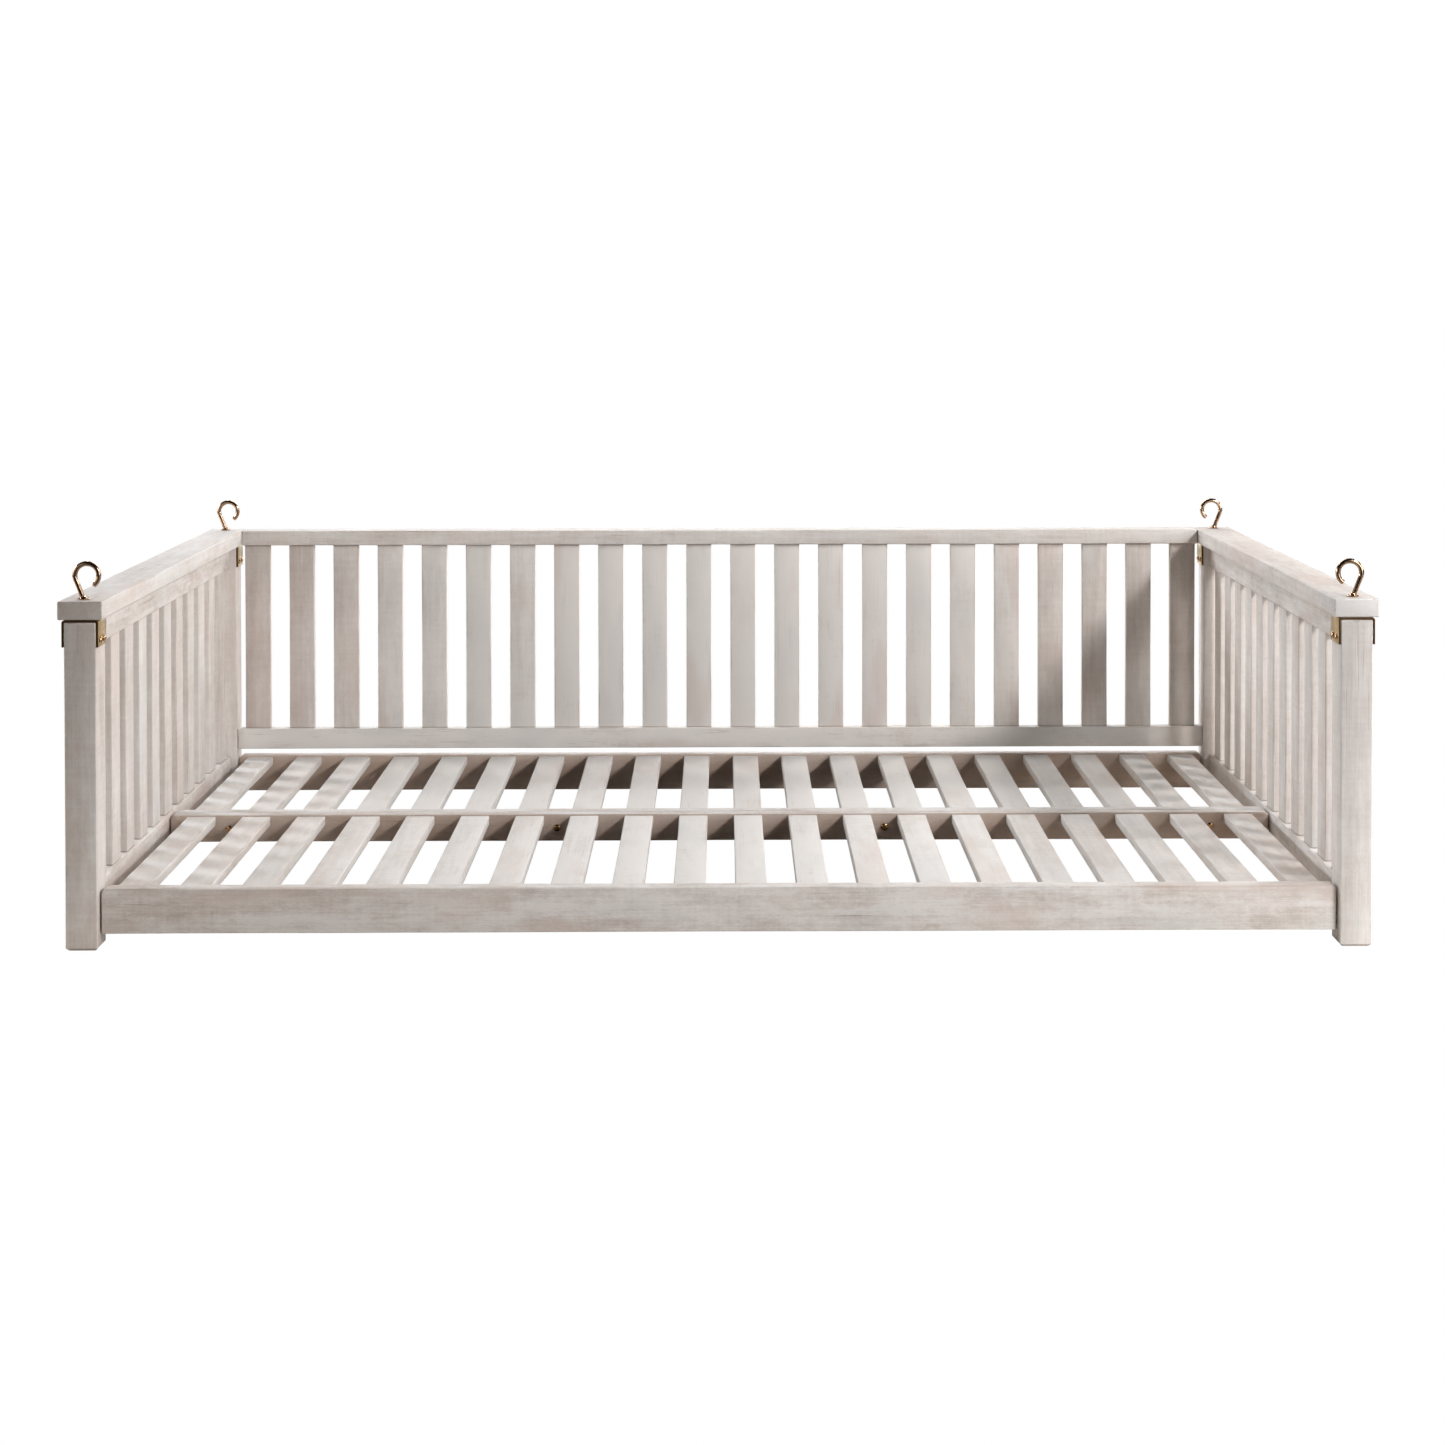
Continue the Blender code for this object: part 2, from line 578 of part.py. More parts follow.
def hook(corner, side, end):
    """An open hook with a flange, and the lock nut under the bracket. Both turn about the shank."""
    place = (side * POST_X, end * POST_Y, ARM_TOP)
    curve = bpy.data.curves.new(f"{corner}_hook_line", "CURVE")
    curve.dimensions = "3D"
    curve.bevel_depth = WIRE
    curve.bevel_resolution = 2
    curve.use_fill_caps = True
    points = hook_wire(side)
    spline = curve.splines.new("POLY")
    spline.points.add(len(points) - 1)
    for point, spot in zip(spline.points, points):
        point.co = (*spot, 1.0)
    drawing = bpy.data.objects.new(f"{corner}_hook_drawing", curve)
    bpy.data.collections["cutters"].objects.link(drawing)
    mesh = welded_mesh(drawing)
    piece = placed(f"{corner}_hook", mesh, place, BRASS)
    base = (*place[:2], ARM_TOP + GAP)
    top = (*place[:2], ARM_TOP + GAP + FLANGE_THICK)
    change(piece, rod(f"{corner}_flange", base, top, FLANGE_RADIUS, ROUND_SIDES), "UNION")

    nut_top = (*place[:2], STRAP_BOTTOM - GAP)
    nut_foot = (*place[:2], STRAP_BOTTOM - GAP - HOOK_NUT_HEIGHT)
    hex_nut(f"{corner}_hook_nut", nut_foot, nut_top, HOOK_NUT_RADIUS, HOOK_NUT_BORE, STEEL)


def shade_round_pieces():
    for piece in bpy.data.collections["hanging_daybed_frame"].objects:
        if any(word in piece.name for word in ("hook", "bolt", "nut")):
            piece.data.shade_smooth()
            piece.data.set_sharp_from_angle(angle=SHARP_ANGLE)


def main():
    clear_scene()
    for name, side in SIDES:
        arm_board(name, side)
        side_rails(name, side)
        side_slats(name, side)
    back_panel()
    deck()
    seam_bolts()
    for corner, side, end in CORNERS:
        post(corner, side, end)
        bracket(corner, side, end)
        hook(corner, side, end)
    shade_round_pieces()


main()
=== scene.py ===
"""The looks of the hanging daybed frame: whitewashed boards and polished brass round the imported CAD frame."""

import math
import random

import bmesh
import bpy
from mathutils import Euler, Matrix, Vector


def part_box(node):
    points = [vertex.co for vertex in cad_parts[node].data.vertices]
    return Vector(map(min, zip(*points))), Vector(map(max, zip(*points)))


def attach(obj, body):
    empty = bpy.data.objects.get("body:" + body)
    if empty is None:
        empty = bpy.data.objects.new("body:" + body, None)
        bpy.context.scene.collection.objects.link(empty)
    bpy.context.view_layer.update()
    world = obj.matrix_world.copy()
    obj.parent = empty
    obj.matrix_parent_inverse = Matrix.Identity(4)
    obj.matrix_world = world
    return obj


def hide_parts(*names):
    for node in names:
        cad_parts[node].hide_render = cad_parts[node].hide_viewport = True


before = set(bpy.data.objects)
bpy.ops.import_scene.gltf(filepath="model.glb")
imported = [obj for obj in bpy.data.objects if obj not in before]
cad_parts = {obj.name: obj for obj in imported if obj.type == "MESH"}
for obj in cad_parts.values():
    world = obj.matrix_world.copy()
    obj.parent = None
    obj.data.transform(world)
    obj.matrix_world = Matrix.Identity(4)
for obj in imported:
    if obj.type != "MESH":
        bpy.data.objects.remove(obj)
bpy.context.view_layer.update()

SIDES = (("left", -1), ("right", 1))
CORNERS = (("front_left", -1), ("front_right", 1), ("rear_left", -1), ("rear_right", 1))

# Joinery, in metres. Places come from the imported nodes; these are the stock sizes inside a row of slats.
GAP = 0.0003  # between pieces that touch
SLAT_WIDTH = 0.050
SIDE_SLATS = 11
BACK_SLATS = 22
DECK_SLATS = 20
FOOT_CHAMFER = 0.004
BOARD_EDGE = 0.0022  # rounding along the edges of a board
TOP_BOARD_EDGE = 0.0026
SLAT_EDGE = 0.0016
HOUSED = 0.004  # how far a slat's ends run into its rails
RAIL_NOSE = 0.008  # rounding of the deck rails' upper corners
NUT_BORE_REACH = 0.03  # from the middle of a barrel nut to well outside its rail
EASED_SEGMENTS, NOSE_SEGMENTS = 3, 5
SHARP_ANGLE = math.radians(50)  # edges sharper than this are rounded
SMOOTH_ANGLE = math.radians(40)  # edges sharper than this are shaded as edges

# A board is never quite true: its faces sink a little, in a slow and a fast wave along the grain.
CUT_LENGTH = 0.12  # the board is cut across about this often, so that it can wave
SINK = 0.00022
SLOW_WAVE, SLOW_SHARE = (5, 11), 0.6  # radians per metre, share of the sink
FAST_WAVE, FAST_SHARE = (17, 29), 0.4
WAVE_START = 6.28  # radians within which a wave may start
TRUE_END, EASE_IN = 0.02, 0.04  # the ends stay true, and the wave grows over the next stretch

# Rails that hold barrel nuts: node, the start of its nuts' names, and the way their bores open.
BORED_RAILS = (
    ("deck_front_rail", "deck_front", (0, 1, 0)),
    ("deck_rear_rail", "deck_rear", (0, -1, 0)),
    ("back_bottom_rail", "back", (0, 1, 0)),
    ("deck_centre_front_rail", "deck_centre", (0, 0, -1)),
)

# Boards that differ from the rest: start of the name, how much whiter, and how dark the end grain is, or how
# white where this is below 0. How much whiter is partly each board's own tone and partly painted light and
# shade;
# the deck rails seen only between the slats are darker as painted shade, and white end grain is a painted
# highlight.
CHOSEN_BOARDS = (
    ("back_bottom_rail", 3.4, 1.0),
    ("front_left_post", -0.5, 1.0),
    ("left_arm_board", 0.6, 1.5),
    ("right_arm_board", -2.2, -0.5),
    ("deck_front_rail", 0.4, 1.0),
    ("deck_centre_front_rail", -1.0, 1.0),
    ("deck_centre_rear_rail", 1.6, 1.0),
    ("deck_rear_rail", -1.0, 1.0),
)
# Painted light and shade: a row's slats are painted whiter towards its middle, where more light falls, and less
# white towards its ends, where the sides shade them: how much whiter its slats are at the ends, and in the
# middle.
ROW_LIGHT_AND_SHADE = {"deck_front_slat": (-0.5, 3.5), "deck_rear_slat": (3.0, 4.5), "back_slat": (-2.0, 4.5)}
# Painted shade: the front faces of these rails, seen only between the slats, are painted browner and darker.
FRONT_SHADED = ("deck_rear_rail", "deck_centre_front_rail")  # their front faces are browner than the rest
TONE_SPREAD = 0.6  # boards differ by up to this much either way
LOT_SPREAD = 40  # metres of grain that boards are cut from

# Fittings, in metres.
STRAP_BEND, STRAP_EDGE, STRAP_BEND_STEPS = 0.004, 0.0005, 8
SHANK_BORE, SHANK_BORE_REACH = 0.0048, 0.01
SCREW_HEAD, SCREW_RISE, SCREW_RIM = 0.0052, 0.0034, 0.0003
SCREW_SHANK = ((0.0, -0.012), (0.0009, -0.010), (0.0018, -0.007), (0.0018, 0.0))  # radius, height
SCREW_RECESS = ((-0.0021, -0.0004, 0.0022), (0.0021, 0.0004, 0.006))  # one arm of the cross
SCREW_SPREAD, SCREW_HEIGHT = 0.011, 0.480  # from the strap's middle, and above the floor
WIRE, RING, RING_OFFSET, RING_HEIGHT = 0.004, 0.0185, 0.005, 0.0375
NECK, TIP = math.radians(-31), math.radians(236)
ARC_STEPS, STEM_STEPS, NECK_SOFTENING = 48, 6, 2
WIRE_TIP = ((0.0008, 1.0), (0.0003, 0.95), (0.0, 0.84))  # distance from the tip, share of the wire's radius
FLANGE_RADIUS, FLANGE_THICK, FLANGE_ROUND = 0.0092, 0.0023, 0.0007
FLANGE_FOOT = 0.0006  # smaller rounding under the flange
COLLAR = ((0.0056, 0.0), (0.0046, 0.0008), (0.0041, 0.0030), (0.0, 0.0034))  # radius, height over the flange
BOLT_SHANK, BOLT_POINT, BOLT_POINT_LENGTH = 0.003, 0.0022, 0.001
BOLT_RISE, BOLT_RIM = 0.0035, 0.0004
BOLT_FLAT = 0.0034  # radius of the flat round the socket
BOLT_CROWN = 0.0036  # the dome stops at this radius
SOCKET, SOCKET_DEPTH, SOCKET_CLEAR, HEXAGON = 0.0025, 0.0022, 0.003, 6
RIM_ROUND = 0.0002
ON_AXIS = 1e-7  # a turned profile is closed where its radius is below this

draw = random.Random(20261117)


# ---------------------------------------------------------------- node trees
def rgb(red, green, blue):
    return (red, green, blue, 1.0)


class Tree:
    """Builds a shader from short calls; every call returns the new node's main output."""

    def __init__(self, name):
        self.material = bpy.data.materials.new(name)
        self.material.use_nodes = True
        self.nodes = self.material.node_tree.nodes
        self.links = self.material.node_tree.links
        self.shader = self.nodes["Principled BSDF"]

    def put(self, socket, value):
        if isinstance(value, bpy.types.NodeSocket):
            self.links.new(value, socket)
        else:
            socket.default_value = value

    def add(self, kind, values, **settings):
        node = self.nodes.new(kind)
        for key, value in settings.items():
            setattr(node, key, value)
        for key, value in values.items():
            self.put(node.inputs[key], value)
        return node

    def set(self, **values):
        """Uniform values of the shader's own sockets, such as Specular_IOR_Level=0.4."""
        for key, value in values.items():
            self.shader.inputs[key.replace("_", " ")].default_value = value

    def attribute(self, name, output="Vector"):
        return self.add("ShaderNodeAttribute", {}, attribute_name=name).outputs[output]

    def place(self):
        """The point in the object's own frame, in metres."""
        return self.add("ShaderNodeTexCoord", {}).outputs["Object"]

    def split(self, vector):
        return self.add("ShaderNodeSeparateXYZ", {"Vector": vector}).outputs

    def vector(self, operation, a, b=(0.0, 0.0, 0.0)):
        return self.add("ShaderNodeVectorMath", {0: a, 1: b}, operation=operation).outputs["Vector"]

    def math(self, operation, a, b=0.0, c=0.0, clamp=False):
        return self.add("ShaderNodeMath", {0: a, 1: b, 2: c}, operation=operation, use_clamp=clamp).outputs[0]

    def both(self, a, b):
        return self.math("MULTIPLY", a, b)

    def sway(self, value, noise, amount, clamp=False):
        """A value moved up and down by a noise that is 0.5 on average."""
        return self.math("MULTIPLY_ADD", self.math("SUBTRACT", noise, 0.5), amount, value, clamp)

    def noise(self, place, scale, detail=3.0, roughness=0.55, distortion=0.0):
        """Noise with scale features per metre along X, Y and Z."""
        place = self.vector("MULTIPLY", place, scale)
        shape = {"Scale": 1.0, "Detail": detail, "Roughness": roughness, "Distortion": distortion}
        return self.add("ShaderNodeTexNoise", {"Vector": place, **shape}).outputs["Fac"]

    def step(self, value, low, high):
        """0 below low, 1 above high, smooth between; low may be the larger."""
        values = {"Value": value, "From Min": low, "From Max": high}
        return self.add("ShaderNodeMapRange", values, interpolation_type="SMOOTHSTEP").outputs["Result"]

    def mix(self, factor, a, b):
        node = self.add("ShaderNodeMix", {"Factor": factor}, data_type="RGBA")
        self.put(node.inputs[6], a)
        self.put(node.inputs[7], b)
        return node.outputs[2]

    def bump(self, height, strength, distance):
        values = {"Height": height, "Strength": strength, "Distance": distance}
        self.put(self.shader.inputs["Normal"], self.add("ShaderNodeBump", values).outputs["Normal"])


# Noise in the wood: features per metre along and across the grain, detail, roughness, distortion.
WOOD_NOISE = {
    "fibre": (9.0, 520.0, 3.0, 0.6, 0.0),
    "streak": (2.4, 75.0, 6.0, 0.62, 0.7),
    "broad": (1.1, 17.0, 3.0, 0.5, 1.4),
    "blotch": (7.0, 17.0, 4.0, 0.55, 0.0),
    "patch": (3.6, 11.0, 3.0, 0.5, 0.0),
    "brush": (150.0, 11.0, 2.0, 0.6, 0.0),
    "vein": (8.0, 240.0, 2.0, 0.5, 0.3),
    "mottle": (30.0, 75.0, 5.0, 0.68, 0.4),
    "speck": (190.0, 480.0, 2.0, 0.6, 0.0),
    "pores": (600.0, 900.0, 2.0, 0.5, 0.0),
}
PATCH_MOVE = (31.0, 7.0, 3.0)  # keeps the patches from following the blotches
GROWTH_RINGS = 9.0  # rings in one swing of the broad noise
# How far each layer moves the wash between brown and white; the figured ones follow the board's figure.
WASH = 0.70  # before any of them
WASH_FIGURED = {"mottle": 0.75, "speck": 0.40, "streak": 0.50, "fibre": 0.42}
WASH_PLAIN = {"rings": 0.10, "brush": 0.25}
WASH_ORDER = ("mottle", "speck", "streak", "rings", "fibre", "brush")
TONE_SHARE = 0.09  # of a board's tone

UNWASHED, WASHED = rgb(0.375, 0.292, 0.245), rgb(0.740, 0.712, 0.690)
COOL, COOL_FROM, COOL_SHARE = rgb(0.585, 0.600, 0.590), (0.52, 0.70), 0.45
ROSY, ROSY_FROM, ROSY_SHARE = rgb(0.600, 0.490, 0.440), (0.47, 0.31), 0.50
VEIN, VEIN_FROM, VEIN_WHERE = rgb(0.270, 0.205, 0.165), (0.63, 0.74), (0.58, 0.42)
VEIN_SHARE, VEIN_MOST = 0.55, 0.5
WORN, WORN_WITHIN, WORN_WHERE = rgb(0.430, 0.335, 0.275), (0.0034, 0.0004), (0.44, 0.62)
WORN_SHARE, WORN_RAGGED = 0.55, 0.006  # ragged: metres that the blotches move the worn strip by
# Whiter along the edges, partly from wash gathered there and partly as a painted highlight.
WASH_AND_SHEEN, WASH_AND_SHEEN_WITHIN, WASH_AND_SHEEN_WHERE = rgb(0.800, 0.780, 0.755), (0.0030, 0.0008), (0.60, 0.40)
WASH_AND_SHEEN_SHARE = 0.45
# Painted shade: the undersides are darker and browner.
SHADED_UNDERSIDE, SHADED_UNDERSIDE_FROM, SHADED_UNDERSIDE_SHARE = rgb(0.330, 0.240, 0.180), (-0.6, -0.9), 0.7
# Painted shade: the front faces of the rails in FRONT_SHADED, seen only between the slats.
FRONT_SHADE, FRONT_SHADE_FROM, FRONT_SHADE_SHARE = rgb(0.430, 0.300, 0.220), (-0.5, -0.8), 0.6
END_WITHIN = (0.0016, 0.0004)
DARK_END, DARK_END_PORES, DARK_END_LEAST = rgb(0.400, 0.335, 0.290), 0.5, 0.05
# Painted highlight: end grain painted white on a board whose dark_and_painted_ends is below 0.
PAINTED_LIT_END = rgb(0.900, 0.890, 0.880)
# Painted shade along the joint where a slat's end runs into its rail.
JOINT_SHADE, JOINT_SHADE_REACH, JOINT_SHADE_SHARE = rgb(0.260, 0.200, 0.160), (0.0026, 0.0004), 0.6

BARE_ROUGHNESS, WASHED_SMOOTHER, FIBRE_ROUGHNESS, WOOD_SPECULAR = 0.80, -0.16, 0.22, 0.38
FIBRE_RELIEF, STREAK_RELIEF, BRUSH_RELIEF, VEIN_RELIEF = 0.8, 0.9, 0.25, -0.8
WOOD_BUMP, WOOD_BUMP_HEIGHT = 0.55, 0.0006


def wood(name, wash, blotches, figure, housed=0.0):
    """Pale brushed wood: a thin white wash over pinkish brown boards, with the grain showing through.

    wash makes a board whiter, blotches scales how unevenly the wash lies, figure how plain the grain is, and
    housed is the length of each end that sits in a rail, with painted shade along the joint. It reads what
    plank()
    stores: grain (metres from the board's middle, X along the grain), half (half its size), lot (its place
    in the grain), tone (how much whiter it is, partly painted light and shade), dark_and_painted_ends (how dark
    its end grain is, or how white where this is below 0, a painted highlight) and front_shaded (its front faces
    take painted shade). Every underside takes painted shade, and the edges are whiter, partly from wash and
    partly as a painted highlight.
    """
    t = Tree(name)
    local = t.attribute("grain")
    place = t.vector("ADD", local, t.attribute("lot"))
    n = {}
    for key, (along, across, *rest) in WOOD_NOISE.items():
        origin = t.vector("ADD", place, PATCH_MOVE) if key == "patch" else place
        n[key] = t.noise(origin, (along, across, across), *rest)
    n["rings"] = t.math("PINGPONG", t.math("MULTIPLY", n["broad"], GROWTH_RINGS), 1.0)

    white = t.sway(WASH + wash, n["blotch"], blotches)
    for key in WASH_ORDER:
        white = t.sway(white, n[key], WASH_FIGURED[key] * figure if key in WASH_FIGURED else WASH_PLAIN[key])
    white = t.math("MULTIPLY_ADD", t.attribute("tone", "Fac"), TONE_SHARE, white, clamp=True)

    colour = t.mix(white, UNWASHED, WASHED)
    colour = t.mix(t.both(t.step(n["patch"], *COOL_FROM), COOL_SHARE * blotches), colour, COOL)
    colour = t.mix(t.both(t.step(n["patch"], *ROSY_FROM), ROSY_SHARE * blotches), colour, ROSY)
    dark = t.both(t.step(n["vein"], *VEIN_FROM), t.step(n["blotch"], *VEIN_WHERE))
    colour = t.mix(t.both(dark, min(VEIN_MOST, VEIN_SHARE * figure**3)), colour, VEIN)

    # Distance from the nearest edge of the board: the middle one of the three distances to its faces.
    off = t.split(t.vector("SUBTRACT", t.attribute("half"), t.vector("ABSOLUTE", local)))
    low, high = t.math("MINIMUM", off[0], off[1]), t.math("MAXIMUM", off[0], off[1])
    middle = t.math("MAXIMUM", low, t.math("MINIMUM", high, off[2]))
    ragged = t.sway(middle, n["blotch"], WORN_RAGGED)
    worn = t.both(t.step(ragged, *WORN_WITHIN), t.step(n["streak"], *WORN_WHERE))
    colour = t.mix(t.both(worn, WORN_SHARE), colour, WORN)
    # Whiter along the edges: partly wash, partly a painted highlight.
    wash_and_sheen = t.both(t.step(middle, *WASH_AND_SHEEN_WITHIN), t.step(n["streak"], *WASH_AND_SHEEN_WHERE))
    colour = t.mix(t.both(wash_and_sheen, WASH_AND_SHEEN_SHARE), colour, WASH_AND_SHEEN)

    # Painted shade: every underside is darker and browner, and so are the front faces of the rails in
    # FRONT_SHADED.
    _, backward, upward = t.split(t.add("ShaderNodeNewGeometry", {}).outputs["Normal"])
    colour = t.mix(t.both(t.step(upward, *SHADED_UNDERSIDE_FROM), SHADED_UNDERSIDE_SHARE), colour, SHADED_UNDERSIDE)
    front_shade = t.both(t.step(backward, *FRONT_SHADE_FROM), t.attribute("front_shaded", "Fac"))
    colour = t.mix(t.both(front_shade, FRONT_SHADE_SHARE), colour, FRONT_SHADE)

    # Dark, porous end grain is the wood's own; where dark_and_painted_ends is below 0 the end grain is painted
    # white instead, as a painted highlight.
    ended = t.step(off[0], *END_WITHIN)
    dark_and_painted_ends = t.attribute("dark_and_painted_ends", "Fac")
    painted_lit_end = t.both(ended, t.math("MAXIMUM", t.math("MULTIPLY", dark_and_painted_ends, -1.0), 0.0))
    colour = t.mix(painted_lit_end, colour, PAINTED_LIT_END)
    porous = t.both(ended, t.math("MULTIPLY_ADD", n["pores"], DARK_END_PORES, DARK_END_LEAST))
    colour = t.mix(t.both(porous, t.math("MAXIMUM", dark_and_painted_ends, 0.0)), colour, DARK_END)
    # Painted shade along the joint where the slat runs into its rail.
    if housed:
        joint_shade = t.step(off[0], *[housed + reach for reach in JOINT_SHADE_REACH])
        colour = t.mix(t.both(joint_shade, JOINT_SHADE_SHARE), colour, JOINT_SHADE)
    t.put(t.shader.inputs["Base Color"], colour)

    rough = t.math("MULTIPLY_ADD", white, WASHED_SMOOTHER, BARE_ROUGHNESS)
    t.put(t.shader.inputs["Roughness"], t.sway(rough, n["fibre"], FIBRE_ROUGHNESS))
    t.set(Specular_IOR_Level=WOOD_SPECULAR)
    relief = t.math("MULTIPLY", n["fibre"], FIBRE_RELIEF)
    relief = t.math("MULTIPLY_ADD", n["streak"], STREAK_RELIEF, relief)
    relief = t.math("MULTIPLY_ADD", n["brush"], BRUSH_RELIEF, relief)
    t.bump(t.math("MULTIPLY_ADD", dark, VEIN_RELIEF, relief), WOOD_BUMP, WOOD_BUMP_HEIGHT)
    return t.material


# Noise in the metal: features per metre on X, Y and Z, detail, roughness, distortion.
CLOUD = ((140.0, 140.0, 140.0), 4.0, 0.6, 0.4)
FILM = ((38.0, 38.0, 38.0), 3.0, 0.5)
SCRATCH = ((900.0, 260.0, 1900.0), 2.0, 0.7)
DULL_FROM = (0.86, 1.22)  # of cloud and film together
# Painted dark reflection: a strap's cut edges are painted dark from here on.
DARK_EDGE_FROM = (0.480, 0.496)  # of a strap's width, from its middle
DULL_ROUGHER, SCRATCH_ROUGHNESS = 0.22, 0.10
SCRATCH_RELIEF, METAL_BUMP, METAL_BUMP_HEIGHT = 0.3, 0.05, 0.0002


def metal(name, clean, tarnish, roughness, spots=0.5, dark_edged=False):
    """Polished metal, unevenly tarnished, with fine rubbed scratches; sheared paints a strap's cut edges dark,
    as a painted dark reflection.
    """
    t = Tree(name)
    place = t.place()
    cloud, film, scratch = t.noise(place, *CLOUD), t.noise(place, *FILM), t.noise(place, *SCRATCH)
    dull = t.both(t.step(t.math("ADD", cloud, film), *DULL_FROM), spots)
    # Painted dark reflection on the strap's cut edges.
    if dark_edged:
        across = t.split(t.add("ShaderNodeTexCoord", {}).outputs["Generated"])["Y"]
        edge = t.step(t.math("ABSOLUTE", t.math("SUBTRACT", across, 0.5)), *DARK_EDGE_FROM)
        dull = t.math("MAXIMUM", dull, edge)
    t.put(t.shader.inputs["Base Color"], t.mix(dull, rgb(*clean), rgb(*tarnish)))
    rough = t.math("MULTIPLY_ADD", dull, DULL_ROUGHER, roughness)
    t.put(t.shader.inputs["Roughness"], t.sway(rough, scratch, SCRATCH_ROUGHNESS, clamp=True))
    t.set(Metallic=1.0)
    t.bump(t.math("MULTIPLY_ADD", scratch, SCRATCH_RELIEF, cloud), METAL_BUMP, METAL_BUMP_HEIGHT)
    return t.material


FINISHES = {
    "post_wood": wood("post_whitewash", wash=0.0, blotches=0.75, figure=0.65),
    "board_wood": wood("board_whitewash", wash=0.06, blotches=0.75, figure=0.85),
    "rail_wood": wood("rail_whitewash", wash=0.02, blotches=1.0, figure=1.3),
    "slat_wood": wood("slat_whitewash", wash=0.02, blotches=0.7, figure=0.6, housed=HOUSED),
    "brass_bracket": metal("bracket_brass", (0.56, 0.40, 0.19), (0.11, 0.06, 0.03), 0.27, 0.25, dark_edged=True),
    "brass_hook": metal("hook_brass", (0.50, 0.34, 0.23), (0.16, 0.08, 0.05), 0.13),
    "brass_bolt": metal("bolt_brass", (0.54, 0.36, 0.20), (0.18, 0.10, 0.05), 0.15, 0.45),
    "steel_bolt": metal("bolt_steel", (0.56, 0.55, 0.53), (0.30, 0.29, 0.28), 0.30),
    "zinc_nut": metal("nut_zinc", (0.62, 0.63, 0.64), (0.36, 0.36, 0.35), 0.34),
}


# ---------------------------------------------------------------- meshes
def add_object(name, shape):
    """A new object from a bmesh in world coordinates, which is freed."""
    mesh = bpy.data.meshes.new(name)
    shape.to_mesh(mesh)
    shape.free()
    thing = bpy.data.objects.new(name, mesh)
    bpy.context.scene.collection.objects.link(thing)
    return thing


def join_in(name, shape, slot, body, *nodes):
    """An object from a bmesh, with its finish, riding on its body in its nodes' place."""
    piece = add_object(name, shape)
    piece.data.materials.append(FINISHES[slot])
    piece.data.shade_smooth()
    piece.data.set_sharp_from_angle(angle=SMOOTH_ANGLE)
    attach(piece, body)
    if nodes:
        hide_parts(*nodes)
    return piece


def block(low, high):
    shape = bmesh.new()
    low, high = Vector(low), Vector(high)
    place = Matrix.Translation((low + high) / 2) @ Matrix.Diagonal((*(high - low), 1.0))
    bmesh.ops.create_cube(shape, size=1.0, matrix=place)
    return shape


def prism(start, end, radius, sides=24):
    """A rod as a bmesh, for cutting bores."""
    start, end = Vector(start), Vector(end)
    place = Matrix.Translation((start + end) / 2) @ (end - start).to_track_quat("Z", "Y").to_matrix().to_4x4()
    shape = bmesh.new()
    length = (end - start).length
    size = {"segments": sides, "radius1": radius, "radius2": radius, "depth": length}
    bmesh.ops.create_cone(shape, cap_ends=True, matrix=place, **size)
    return shape


def carved(shape, tools, operation="DIFFERENCE"):
    """The shape with each tool cut out of it, or joined to it, as a bmesh."""
    piece = add_object("carving", shape)
    for tool in tools:
        cutter = add_object("cutter", tool)
        change = piece.modifiers.new("cut", "BOOLEAN")
        change.operation = operation
        change.object = cutter
        graph = bpy.context.evaluated_depsgraph_get()
        cut = bpy.data.meshes.new_from_object(piece.evaluated_get(graph))
        piece.modifiers.clear()
        piece.data = cut
        bpy.data.objects.remove(cutter)
    result = bmesh.new()
    result.from_mesh(piece.data)
    bpy.data.objects.remove(piece)
    return result


def rounded(shape, width, segments):
    """Rounds every sharp edge of the shape."""
    edges = [e for e in shape.edges if e.calc_face_angle(0.0) > SHARP_ANGLE]
    bmesh.ops.bevel(shape, geom=edges, offset=width, segments=segments, profile=0.5, affect="EDGES")


def waver(shape, middle, half, index):
    """Cuts a board across along its length, and lets its faces sink in two waves; its ends stay true."""
    length = 2 * half[index]
    axis = Vector([float(k == index) for k in range(3)])
    cuts = max(1, round(length / CUT_LENGTH))
    for i in range(1, cuts):
        at = middle + axis * (length * (i / cuts - 0.5))
        geometry = shape.verts[:] + shape.edges[:] + shape.faces[:]
        bmesh.ops.bisect_plane(shape, geom=geometry, plane_co=at, plane_no=axis)
    spans = (SLOW_WAVE, (0, WAVE_START), FAST_WAVE, (0, WAVE_START))
    waves = [[draw.uniform(*span) for span in spans] for _ in range(3)]
    for v in shape.verts:
        along = (v.co - middle)[index]
        room = half[index] - TRUE_END - abs(along)
        if room <= 0:
            continue
        for k in range(3):
            if k != index:
                slow, slow_start, fast, fast_start = waves[k]
                sink = 1 + SLOW_SHARE * math.sin(slow * along + slow_start)
                sink += FAST_SHARE * math.sin(fast * along + fast_start)
                side = 1 if v.co[k] > middle[k] else -1
                v.co[k] -= side * SINK * sink * min(1.0, room / EASE_IN)


